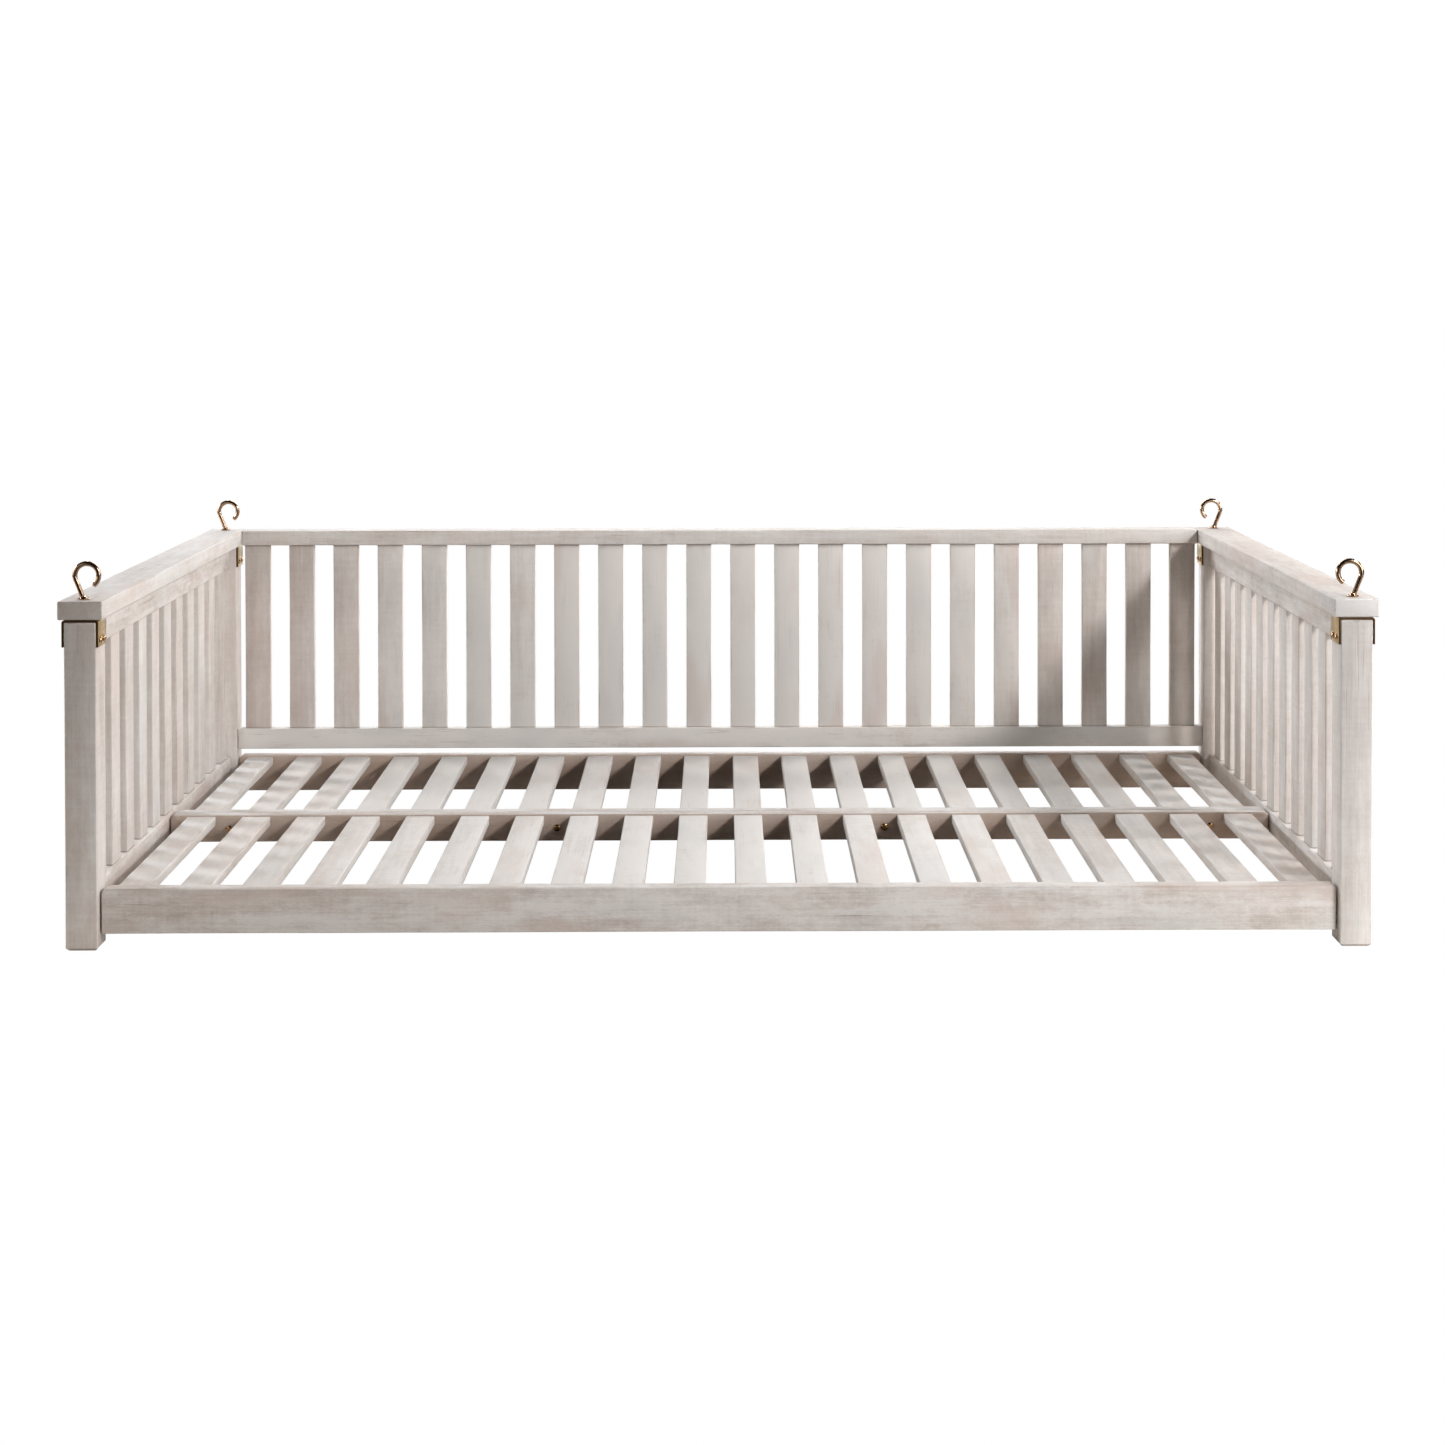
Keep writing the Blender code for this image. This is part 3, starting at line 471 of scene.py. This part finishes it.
def plank(name, slot, low, high, along, nodes, edge=BOARD_EDGE, bores=(), foot=0.0, nose=0.0, whiter=0.0):
    """A board with rounded edges, slightly uneven along its length, and the attributes its finish reads.

    along is the axis of its grain. bores are (start, end, radius), foot chamfers its lowest edges, and nose
    rounds the upper corners at the ends of a board that runs along X. whiter adds to the tone of its wash;
    along a row of slats it is painted light and shade.
    """
    low, high = Vector(low), Vector(high)
    middle, half = (low + high) / 2, (high - low) / 2
    shape = block(low, high)
    if foot:
        lowest = [e for e in shape.edges if all(v.co.z < low.z + edge for v in e.verts)]
        bmesh.ops.bevel(shape, geom=lowest, offset=foot, segments=1, affect="EDGES")
    if nose:
        tips = [
            e
            for e in shape.edges
            if all(v.co.z > high.z - edge and abs(v.co.x - middle.x) > half.x - edge for v in e.verts)
            and abs(e.verts[0].co.y - e.verts[1].co.y) > edge
        ]
        bmesh.ops.bevel(shape, geom=tips, offset=nose, segments=NOSE_SEGMENTS, profile=0.5, affect="EDGES")
    rounded(shape, edge, EASED_SEGMENTS)

    index = "xyz".index(along)
    lot = [draw.uniform(-LOT_SPREAD, LOT_SPREAD) for _ in range(3)]
    # A chosen board's tone is partly its own and partly painted light and shade.
    chosen, dark_and_painted_ends = next((row[1:] for row in CHOSEN_BOARDS if name.startswith(row[0])), (0.0, 1.0))
    tone = draw.uniform(-TONE_SPREAD, TONE_SPREAD) + chosen + whiter
    waver(shape, middle, half, index)
    if bores:
        shape = carved(shape, [prism(*bore) for bore in bores])
    piece = join_in(name, shape, slot, "root", *nodes)

    data = piece.data
    order = [index, (index + 1) % 3, (index + 2) % 3]
    vectors = {
        "grain": [(v.co - middle)[k] for v in data.vertices for k in order],
        "half": [half[k] for k in order] * len(data.vertices),
        "lot": lot * len(data.vertices),
    }
    numbers = {"tone": tone, "dark_and_painted_ends": dark_and_painted_ends, "front_shaded": float(name.startswith(FRONT_SHADED))}
    for key, values in vectors.items():
        data.attributes.new(key, "FLOAT_VECTOR", "POINT").data.foreach_set("vector", values)
    for key, value in numbers.items():
        data.attributes.new(key, "FLOAT", "POINT").data.foreach_set("value", [value] * len(data.vertices))
    return piece


def turned(profile, steps):
    """A bmesh of revolution about Z from (radius, height) pairs, closed where the radius is zero."""
    shape = bmesh.new()
    turns = [2 * math.pi * i / steps for i in range(steps)]
    rings = []
    for radius, height in profile:
        around = turns if radius > ON_AXIS else turns[:1]
        rings.append([shape.verts.new((radius * math.cos(a), radius * math.sin(a), height)) for a in around])
    for a, b in zip(rings, rings[1:]):
        for i in range(steps):
            j = (i + 1) % steps
            if len(a) == 1:
                shape.faces.new((a[0], b[j], b[i]))
            elif len(b) == 1:
                shape.faces.new((a[i], a[j], b[0]))
            else:
                shape.faces.new((a[i], a[j], b[j], b[i]))
    bmesh.ops.recalc_face_normals(shape, faces=shape.faces)
    return shape


def facing(place, direction, spin=0.0):
    """A frame at place whose Z points along direction."""
    turn = Vector(direction).to_track_quat("Z", "Y").to_matrix().to_4x4()
    return Matrix.Translation(place) @ turn @ Matrix.Rotation(spin, 4, "Z")


def dome(radius, height, rim, steps):
    """Profile of a low dome from just over its rim to its crown."""
    turns = [math.pi / 2 * i / steps for i in range(1, steps + 1)]
    return [(radius * math.cos(a), rim + (height - rim) * math.sin(a)) for a in turns]


# ---------------------------------------------------------------- the wooden frame
def boards():
    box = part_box
    for corner, _ in CORNERS:
        node = f"{corner}_post"
        plank(f"{node}_wood", "post_wood", *box(node), "z", [node], foot=FOOT_CHAMFER)
    inner_y = box("rear_left_post")[0].y
    for name, _ in SIDES:
        node = f"{name}_arm_board"
        plank(f"{node}_wood", "board_wood", *box(node), "y", [node], edge=TOP_BOARD_EDGE)
        for level in ("upper", "lower"):
            node = f"{name}_{level}_rail"
            low, high = box(node)
            low.y, high.y = -inner_y + GAP, inner_y - GAP
            plank(f"{node}_wood", "rail_wood", low, high, "y", [node])
    arm_inner = box("right_arm_board")[0].x
    low, high = box("back_top_board")
    low.x, high.x = -arm_inner + GAP, arm_inner - GAP
    plank("back_top_board_wood", "board_wood", low, high, "x", ["back_top_board"], edge=TOP_BOARD_EDGE)

    for node, tag, opening in BORED_RAILS:
        opening = Vector(opening)
        bores = []
        for name, _ in SIDES:
            nut_low, nut_high = box(f"{tag}_{name}_barrel_nut")
            centre, reach = (nut_low + nut_high) / 2, (nut_high - nut_low) / 2
            start, end = centre - opening * (max(reach) + GAP), centre + opening * NUT_BORE_REACH
            bores.append((start, end, min(reach) + GAP))
        nose = RAIL_NOSE if node.startswith("deck") else 0.0
        plank(f"{node}_wood", "rail_wood", *box(node), "x", [node], bores=bores, nose=nose)
    node = "deck_centre_rear_rail"
    plank(f"{node}_wood", "rail_wood", *box(node), "x", [node], nose=RAIL_NOSE)


def slats():
    """Every slat on its own, between the faces of its rails."""
    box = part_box
    for name, _ in SIDES:
        node = f"{name}_side_slats"
        low, high = box(node)
        low.z, high.z = box(f"{name}_lower_rail")[1].z, box(f"{name}_upper_rail")[0].z
        row(node, low, high, 1, 2, SIDE_SLATS)
    low, high = box("back_slats")
    low.z, high.z = box("back_bottom_rail")[1].z, box("back_top_board")[0].z
    row("back_slats", low, high, 0, 2, BACK_SLATS)
    for half in ("front", "rear"):
        node = f"deck_{half}_slats"
        low, high = box(node)
        outer, centre = box(f"deck_{half}_rail"), box(f"deck_centre_{half}_rail")
        low.y, high.y = (outer[1].y, centre[0].y) if half == "front" else (centre[1].y, outer[0].y)
        row(node, low, high, 0, 1, DECK_SLATS)


def row(node, low, high, across, along, count):
    """Slats of one row, bounded by low and high; across is the row's axis and along is that of a slat."""
    name = node.removesuffix("s")
    pitch = (high[across] - low[across] - SLAT_WIDTH) / (count - 1)
    at_ends, in_middle = ROW_LIGHT_AND_SHADE.get(name, (0.0, 0.0))
    for i in range(count):
        a, b = low.copy(), high.copy()
        a[across] = low[across] + i * pitch
        b[across] = a[across] + SLAT_WIDTH
        a[along] -= HOUSED
        b[along] += HOUSED
        # Painted light and shade: whiter towards the middle of the row, less white towards its ends.
        from_middle = 2 * i / (count - 1) - 1
        whiter = in_middle + (at_ends - in_middle) * from_middle**2
        plank(f"{name}_{i + 1:02d}", "slat_wood", a, b, "xyz"[along], [node], edge=SLAT_EDGE, whiter=whiter)


# ---------------------------------------------------------------- brackets, screws, hooks, bolts
def bent_strap(low, high, thickness):
    """A strap bent down at both ends, in its own bmesh: X across the post, Y along the strap's width."""
    width, top, foot = high.y - low.y, high.z, low.z
    half = (high.x - low.x) / 2
    middle = (low.x + high.x) / 2

    def corner(centre_x, radius, first, last):
        for i in range(STRAP_BEND_STEPS + 1):
            a = math.radians(first + (last - first) * i / STRAP_BEND_STEPS)
            yield (centre_x + radius * math.cos(a), top - STRAP_BEND + radius * math.sin(a))

    outer = [
        (-half, foot),
        *corner(-half + STRAP_BEND, STRAP_BEND, 180, 90),
        *corner(half - STRAP_BEND, STRAP_BEND, 90, 0),
        (half, foot),
    ]
    inner = [
        (half - thickness, foot),
        *corner(half - STRAP_BEND, STRAP_BEND - thickness, 0, 90),
        *corner(-half + STRAP_BEND, STRAP_BEND - thickness, 90, 180),
        (-half + thickness, foot),
    ]
    outline = outer + inner
    shape = bmesh.new()
    front = [shape.verts.new((middle + x, low.y, z)) for x, z in outline]
    back = [shape.verts.new((middle + x, low.y + width, z)) for x, z in outline]
    count = len(outline)
    for i in range(count):
        j = (i + 1) % count
        shape.faces.new((front[i], front[j], back[j], back[i]))
    for line, flip in ((front, False), (back, True)):
        for i in range(len(outer) - 1):
            quad = (line[i], line[i + 1], line[count - 2 - i], line[count - 1 - i])
            shape.faces.new(tuple(reversed(quad)) if flip else quad)
    bmesh.ops.recalc_face_normals(shape, faces=shape.faces)
    rounded(shape, STRAP_EDGE, 2)
    return shape


def screw_shape():
    """A round-headed wood screw with a cross recess, its head's seat at the origin and +Z outwards."""
    profile = [*SCREW_SHANK, (SCREW_HEAD - RIM_ROUND, 0.0), (SCREW_HEAD, SCREW_RIM)]
    profile += dome(SCREW_HEAD, SCREW_RISE, SCREW_RIM, 10)
    arms = []
    for spin in (0.0, math.pi / 2):
        arm = block(*SCREW_RECESS)
        arm.transform(Matrix.Rotation(spin, 4, "Z"))
        arms.append(arm)
    return carved(turned(profile, 36), arms)


def brackets():
    pattern = screw_shape()
    for corner, side in CORNERS:
        node = f"{corner}_bracket"
        low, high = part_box(node)
        post_low, post_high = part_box(f"{corner}_post")
        thickness = (high.x - low.x - (post_high.x - post_low.x)) / 2 - GAP
        axis_x, axis_y = (low.x + high.x) / 2, (low.y + high.y) / 2
        ends = [(axis_x, axis_y, high.z + reach) for reach in (-SHANK_BORE_REACH, SHANK_BORE_REACH)]
        strap = carved(bent_strap(low, high, thickness), [prism(*ends, SHANK_BORE)])
        join_in(f"{corner}_bracket_brass", strap, "brass_bracket", "root", node)
        for face, outward in (("outer", side), ("inner", -side)):
            seat_x = high.x if outward > 0 else low.x
            for where, column in (("front", -1), ("rear", 1)):
                shape = pattern.copy()
                place = (seat_x, axis_y + column * SCREW_SPREAD, SCREW_HEIGHT)
                shape.transform(facing(place, (outward, 0, 0), draw.uniform(0, math.pi)))
                join_in(f"{corner}_{face}_{where}_screw", shape, "brass_bolt", "root")
    pattern.free()


def hook_line(side):
    """The middle of the wire from the arm's top to its tip, about the shank's axis."""

    def on_ring(a):
        return Vector((RING * math.cos(a) - RING_OFFSET, 0.0, RING_HEIGHT + RING * math.sin(a)))

    foot, neck = Vector((0.0, 0.0, 0.0)), on_ring(NECK)
    points = [foot.lerp(neck, i / STEM_STEPS) for i in range(STEM_STEPS)]
    points += [on_ring(NECK + (TIP - NECK) * i / ARC_STEPS) for i in range(ARC_STEPS + 1)]
    for _ in range(NECK_SOFTENING):  # softens the kink at the neck
        between = [(a + 2 * b + c) / 4 for a, b, c in zip(points, points[1:], points[2:])]
        points = [points[0], *between, points[-1]]
    return [Vector((side * p.x, 0.0, p.z)) for p in points]


def tube(points, radius, sides=20):
    """A round wire in the XZ plane along the points, with a rounded tip."""
    shape = bmesh.new()
    rings = []
    tip = (points[-1] - points[-2]).normalized()
    line = [(p, radius) for p in points[:-1]]
    line += [(points[-1] - tip * back, radius * share) for back, share in WIRE_TIP]
    side = Vector((0, 1, 0))
    for i, (p, r) in enumerate(line):
        before, after = line[max(i - 1, 0)][0], line[min(i + 1, len(line) - 1)][0]
        up = (after - before).normalized().cross(side).normalized()
        turns = [2 * math.pi * k / sides for k in range(sides)]
        rings.append([shape.verts.new(p + r * (math.cos(a) * side + math.sin(a) * up)) for a in turns])
    for a, b in zip(rings, rings[1:]):
        for k in range(sides):
            j = (k + 1) % sides
            shape.faces.new((a[k], a[j], b[j], b[k]))
    shape.faces.new(list(reversed(rings[0])))
    shape.faces.new(rings[-1])
    bmesh.ops.recalc_face_normals(shape, faces=shape.faces)
    return shape


def hooks():
    """Open hooks bent from round wire, each on a flange with a small collar, its shank down to its nut."""
    for corner, side in CORNERS:
        node = f"{corner}_hook"
        post_low, post_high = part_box(f"{corner}_post")
        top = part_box(f"{'left' if side < 0 else 'right'}_arm_board")[1].z
        axis = Vector(((post_low.x + post_high.x) / 2, (post_low.y + post_high.y) / 2, top))
        shank_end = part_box(node)[0].z - top
        crest = GAP + FLANGE_THICK
        foot = [
            (0.0, shank_end),
            (WIRE, shank_end),
            (WIRE, GAP),
            (FLANGE_RADIUS - FLANGE_FOOT, GAP),
            (FLANGE_RADIUS, GAP + FLANGE_FOOT),
            (FLANGE_RADIUS, crest - FLANGE_ROUND),
            (FLANGE_RADIUS - FLANGE_ROUND, crest),
            *[(radius, crest + height) for radius, height in COLLAR],
        ]
        whole = carved(tube(hook_line(side), WIRE), [turned(foot, 40)], "UNION")
        whole.transform(Matrix.Translation(axis))
        join_in(f"{corner}_hook_brass", whole, "brass_hook", f"{corner}_hook_swivel", node)


def bolts():
    """The seam's brass bolts and the corner joints' steel ones, round-headed with a hexagonal socket."""
    names = [(f"seam_bolt_{i}", "brass_bolt") for i in range(1, 5)]
    for joint in ("back", "deck_front", "deck_rear", "deck_centre"):
        names += [(f"{joint}_{name}_bolt", "steel_bolt") for name, _ in SIDES]
    for node, slot in names:
        low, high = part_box(node)
        size = high - low
        k = max(range(3), key=lambda j: size[j])
        head = max(size[j] for j in range(3) if j != k) / 2
        middle = (low + high) / 2
        out = -1 if (k == 1 or middle.x < 0) else 1
        direction = Vector([out * float(j == k) for j in range(3)])
        point = BOLT_RISE - size[k]
        profile = [(0.0, point), (BOLT_POINT, point), (BOLT_SHANK, point + BOLT_POINT_LENGTH)]
        profile += [(BOLT_SHANK, 0.0), (head - RIM_ROUND, 0.0), (head, BOLT_RIM)]
        profile += [(r, z) for r, z in dome(head, BOLT_RISE, BOLT_RIM, 8) if r > BOLT_CROWN]
        profile += [(BOLT_FLAT, BOLT_RISE), (0.0, BOLT_RISE)]
        socket = prism((0, 0, BOLT_RISE - SOCKET_DEPTH), (0, 0, BOLT_RISE + SOCKET_CLEAR), SOCKET, HEXAGON)
        shape = carved(turned(profile, 40), [socket])
        seat = middle + direction * size[k] / 2 - direction * BOLT_RISE
        shape.transform(facing(seat, direction, draw.uniform(0, math.pi)))
        join_in(f"{node}_{slot.split('_')[0]}", shape, slot, "root", node)


def dress_nuts():
    """The nuts keep their CAD shape and take a plated finish."""
    for name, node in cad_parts.items():
        if name.endswith("nut") or name.startswith("seam_nut"):
            node.data.materials.clear()
            node.data.materials.append(FINISHES["zinc_nut"])


# ---------------------------------------------------------------- stage
FLOOR_HALF, WHITE_HALF, WHITE_LEVEL = 9.0, 60.0, -0.002
HAZE = ((0.7, 0.7, 0.7), 2.0)
FLOOR_PALE = (rgb(0.84, 0.80, 0.75), rgb(0.86, 0.82, 0.77))
# Painted shade: the floor, which the camera doesn't see, is painted dark in front of the frame, so that little
# light bounces onto its front faces, and dark under the middle of the deck, where the deck shades it.
FLOOR_SHADE_FRONT, FRONT_FADE = rgb(0.10, 0.09, 0.08), (-1.3, -0.6)  # dark in front of the frame
FLOOR_SHADE_UNDER, UNDER_X, UNDER_Y = rgb(0.05, 0.03, 0.02), (0.70, 0.30), (0.55, 0.45)  # dark under its middle
# Painted light: a warm patch of the floor glows below the right-hand end of the deck.
GLOW, GLOW_STRENGTH = rgb(1.0, 0.84, 0.70), 0.16
GLOW_START, GLOW_END, GLOW_Y = (0.35, 0.65), (1.0, 0.9), (0.52, 0.42)
UNLIT = (rgb(0.010, 0.010, 0.010), rgb(0.012, 0.012, 0.012))  # the white sheet shines, and reflects nothing
STAGE_ROUGHNESS = 0.9

# Lamps: name, place, target, size, energy, colour.
MIDDLE = (0.0, 0.0, 0.2)
FRONT_TARGET = (0.4, 0.0, 0.3)
SIDE_TARGET = (0.0, 0.0, 0.3)
LAMPS = (
    ("key_front_right", (3.4, -3.8, 2.91), MIDDLE, 0.75, 110.0, (1.0, 0.88, 0.82)),
    ("key_right", (3.4, -1.8, 2.91), MIDDLE, 0.61, 28.0, (0.90, 0.93, 1.0)),
    ("high_right", (2.6, -0.8, 2.25), MIDDLE, 0.44, 28.0, (0.96, 1.0, 0.99)),
    ("low_front_right", (2.6, -3.0, 1.0), FRONT_TARGET, 1.5, 40.0, (0.84, 0.94, 1.0)),
    ("low_front_left", (-2.6, -3.0, 1.0), FRONT_TARGET, 1.5, 6.4, (1.0, 1.0, 0.92)),
    ("side_right", (3.4, -0.2, 1.0), SIDE_TARGET, 0.45, 22.0, (1.0, 0.84, 0.70)),
    ("side_left", (-3.4, -0.2, 1.0), SIDE_TARGET, 1.2, 36.0, (1.0, 0.95, 0.86)),
    ("rear_left", (-3.4, 1.2, 1.4), MIDDLE, 0.49, 70.0, (0.86, 0.92, 1.0)),
    ("rear_right", (3.4, 1.2, 1.4), MIDDLE, 0.49, 25.0, (1.0, 0.92, 0.88)),
    ("high_rear_left", (-1.8, 2.4, 3.4), MIDDLE, 0.57, 20.0, (0.96, 0.98, 1.0)),
    ("high_rear_right", (3.0, 2.4, 2.4), MIDDLE, 0.58, 20.0, (0.84, 0.92, 1.0)),
    ("high_rear", (0.0, 2.6, 2.6), MIDDLE, 2.2, 63.0, (1.0, 0.96, 0.92)),
    ("low_rear", (0.0, 3.6, 1.4), MIDDLE, 2.6, 38.0, (0.86, 0.94, 1.0)),
)
AMBIENT, AMBIENT_STRENGTH = rgb(1.0, 0.95, 0.90), 0.01
SEEN_STRENGTH = 1.05  # of the white background that the camera sees
WALL_FROM, WALL_STRENGTH = (0.15, 0.55), (0.01, 0.28)  # the white wall that polished faces mirror

CAMERA_PLACE = (0.0064, -4.1585, 1.0235)
CAMERA_TURN = (89.0, 0.06, -0.536)  # degrees
CAMERA_LENS, CAMERA_SENSOR = 58.43, 36.0  # millimetres
CAMERA_SHIFT = (-0.0160, -0.2726)
CAMERA_REACH = (0.05, 200.0)


def stage_plane(name, level, half, t):
    """A large level square of the studio, painted with the material of t."""
    shape = bmesh.new()
    bmesh.ops.create_grid(shape, x_segments=2, y_segments=2, size=half)
    shape.transform(Matrix.Translation((0.0, 0.0, level)))
    plane = add_object(name, shape)
    plane.data.materials.append(t.material)
    return plane


def stage():
    """A pale floor that light bounces off, with painted shade in front of the frame and under its middle and a
    glowing patch of painted light at the right-hand end of the deck, and under it the pure white sheet that the
    camera sees instead.
    """
    t = Tree("studio_floor_paint")
    place = t.place()
    x, y, _ = t.split(place)
    pale = t.mix(t.noise(place, *HAZE), *FLOOR_PALE)
    from_middle = [t.math("ABSOLUTE", part) for part in (x, y)]
    # Painted shade under the middle of the deck.
    under = t.both(t.step(from_middle[0], *UNDER_X), t.step(from_middle[1], *UNDER_Y))
    pale = t.mix(under, pale, FLOOR_SHADE_UNDER)
    # Painted shade in front of the frame.
    t.put(t.shader.inputs["Base Color"], t.mix(t.step(y, *FRONT_FADE), FLOOR_SHADE_FRONT, pale))
    # Painted light: the floor glows warm from below, at the right-hand end of the deck.
    glow = t.both(t.step(x, *GLOW_START), t.step(from_middle[1], *GLOW_Y))
    glow = t.both(glow, t.step(x, *GLOW_END))
    t.put(t.shader.inputs["Emission Strength"], t.both(glow, GLOW_STRENGTH))
    t.set(Emission_Color=GLOW, Roughness=STAGE_ROUGHNESS, Specular_IOR_Level=0.1)
    stage_plane("studio_floor", 0.0, FLOOR_HALF, t).visible_camera = False

    t = Tree("studio_white_paint")
    t.put(t.shader.inputs["Base Color"], t.mix(t.noise(t.place(), *HAZE), *UNLIT))
    t.set(Roughness=STAGE_ROUGHNESS, Specular_IOR_Level=0.0)
    t.set(Emission_Color=rgb(1, 1, 1), Emission_Strength=1.0)
    sheet = stage_plane("studio_white", WHITE_LEVEL, WHITE_HALF, t)
    for ray in ("diffuse", "glossy", "transmission", "volume_scatter", "shadow"):
        setattr(sheet, f"visible_{ray}", False)


def lights():
    for name, place, target, size, power, colour in LAMPS:
        lamp = bpy.data.lights.new(name, "AREA")
        lamp.shape = "SQUARE"
        lamp.size = size
        lamp.energy = power
        lamp.color = colour
        thing = bpy.data.objects.new(name, lamp)
        bpy.context.scene.collection.objects.link(thing)
        thing.location = place
        thing.rotation_euler = (Vector(target) - Vector(place)).to_track_quat("-Z", "Y").to_euler()


def surroundings():
    """White to the camera; polished faces mirror a white wall behind the frame and a dark room before it."""
    world = bpy.data.worlds.new("studio")
    bpy.context.scene.world = world
    world.use_nodes = True
    nodes, links = world.node_tree.nodes, world.node_tree.links
    ambient = nodes["Background"]
    mirrored, white = nodes.new("ShaderNodeBackground"), nodes.new("ShaderNodeBackground")
    for node, colour in ((ambient, AMBIENT), (mirrored, rgb(1, 1, 1)), (white, rgb(1, 1, 1))):
        node.inputs["Color"].default_value = colour
    ambient.inputs["Strength"].default_value = AMBIENT_STRENGTH
    white.inputs["Strength"].default_value = SEEN_STRENGTH
    toward = nodes.new("ShaderNodeSeparateXYZ")
    links.new(nodes.new("ShaderNodeTexCoord").outputs["Generated"], toward.inputs[0])
    wall = nodes.new("ShaderNodeMapRange")
    wall.interpolation_type = "SMOOTHSTEP"
    links.new(toward.outputs["Y"], wall.inputs["Value"])
    wall.inputs["From Min"].default_value, wall.inputs["From Max"].default_value = WALL_FROM
    wall.inputs["To Min"].default_value, wall.inputs["To Max"].default_value = WALL_STRENGTH
    links.new(wall.outputs["Result"], mirrored.inputs["Strength"])
    seen = nodes.new("ShaderNodeLightPath")
    shown = ambient
    for choice, other in (("Is Glossy Ray", mirrored), ("Is Camera Ray", white)):
        mix = nodes.new("ShaderNodeMixShader")
        links.new(seen.outputs[choice], mix.inputs[0])
        links.new(shown.outputs[0], mix.inputs[1])
        links.new(other.outputs[0], mix.inputs[2])
        shown = mix
    links.new(shown.outputs[0], nodes["World Output"].inputs["Surface"])


def camera():
    data = bpy.data.cameras.new("camera")
    data.lens = CAMERA_LENS
    data.sensor_width = CAMERA_SENSOR
    data.shift_x, data.shift_y = CAMERA_SHIFT
    data.clip_start, data.clip_end = CAMERA_REACH
    thing = bpy.data.objects.new("camera", data)
    bpy.context.scene.collection.objects.link(thing)
    thing.location = CAMERA_PLACE
    thing.rotation_euler = Euler([math.radians(turn) for turn in CAMERA_TURN])
    bpy.context.scene.camera = thing
    bpy.context.scene.view_settings.view_transform = "Standard"


boards()
slats()
brackets()
hooks()
bolts()
dress_nuts()
stage()
lights()
surroundings()
camera()
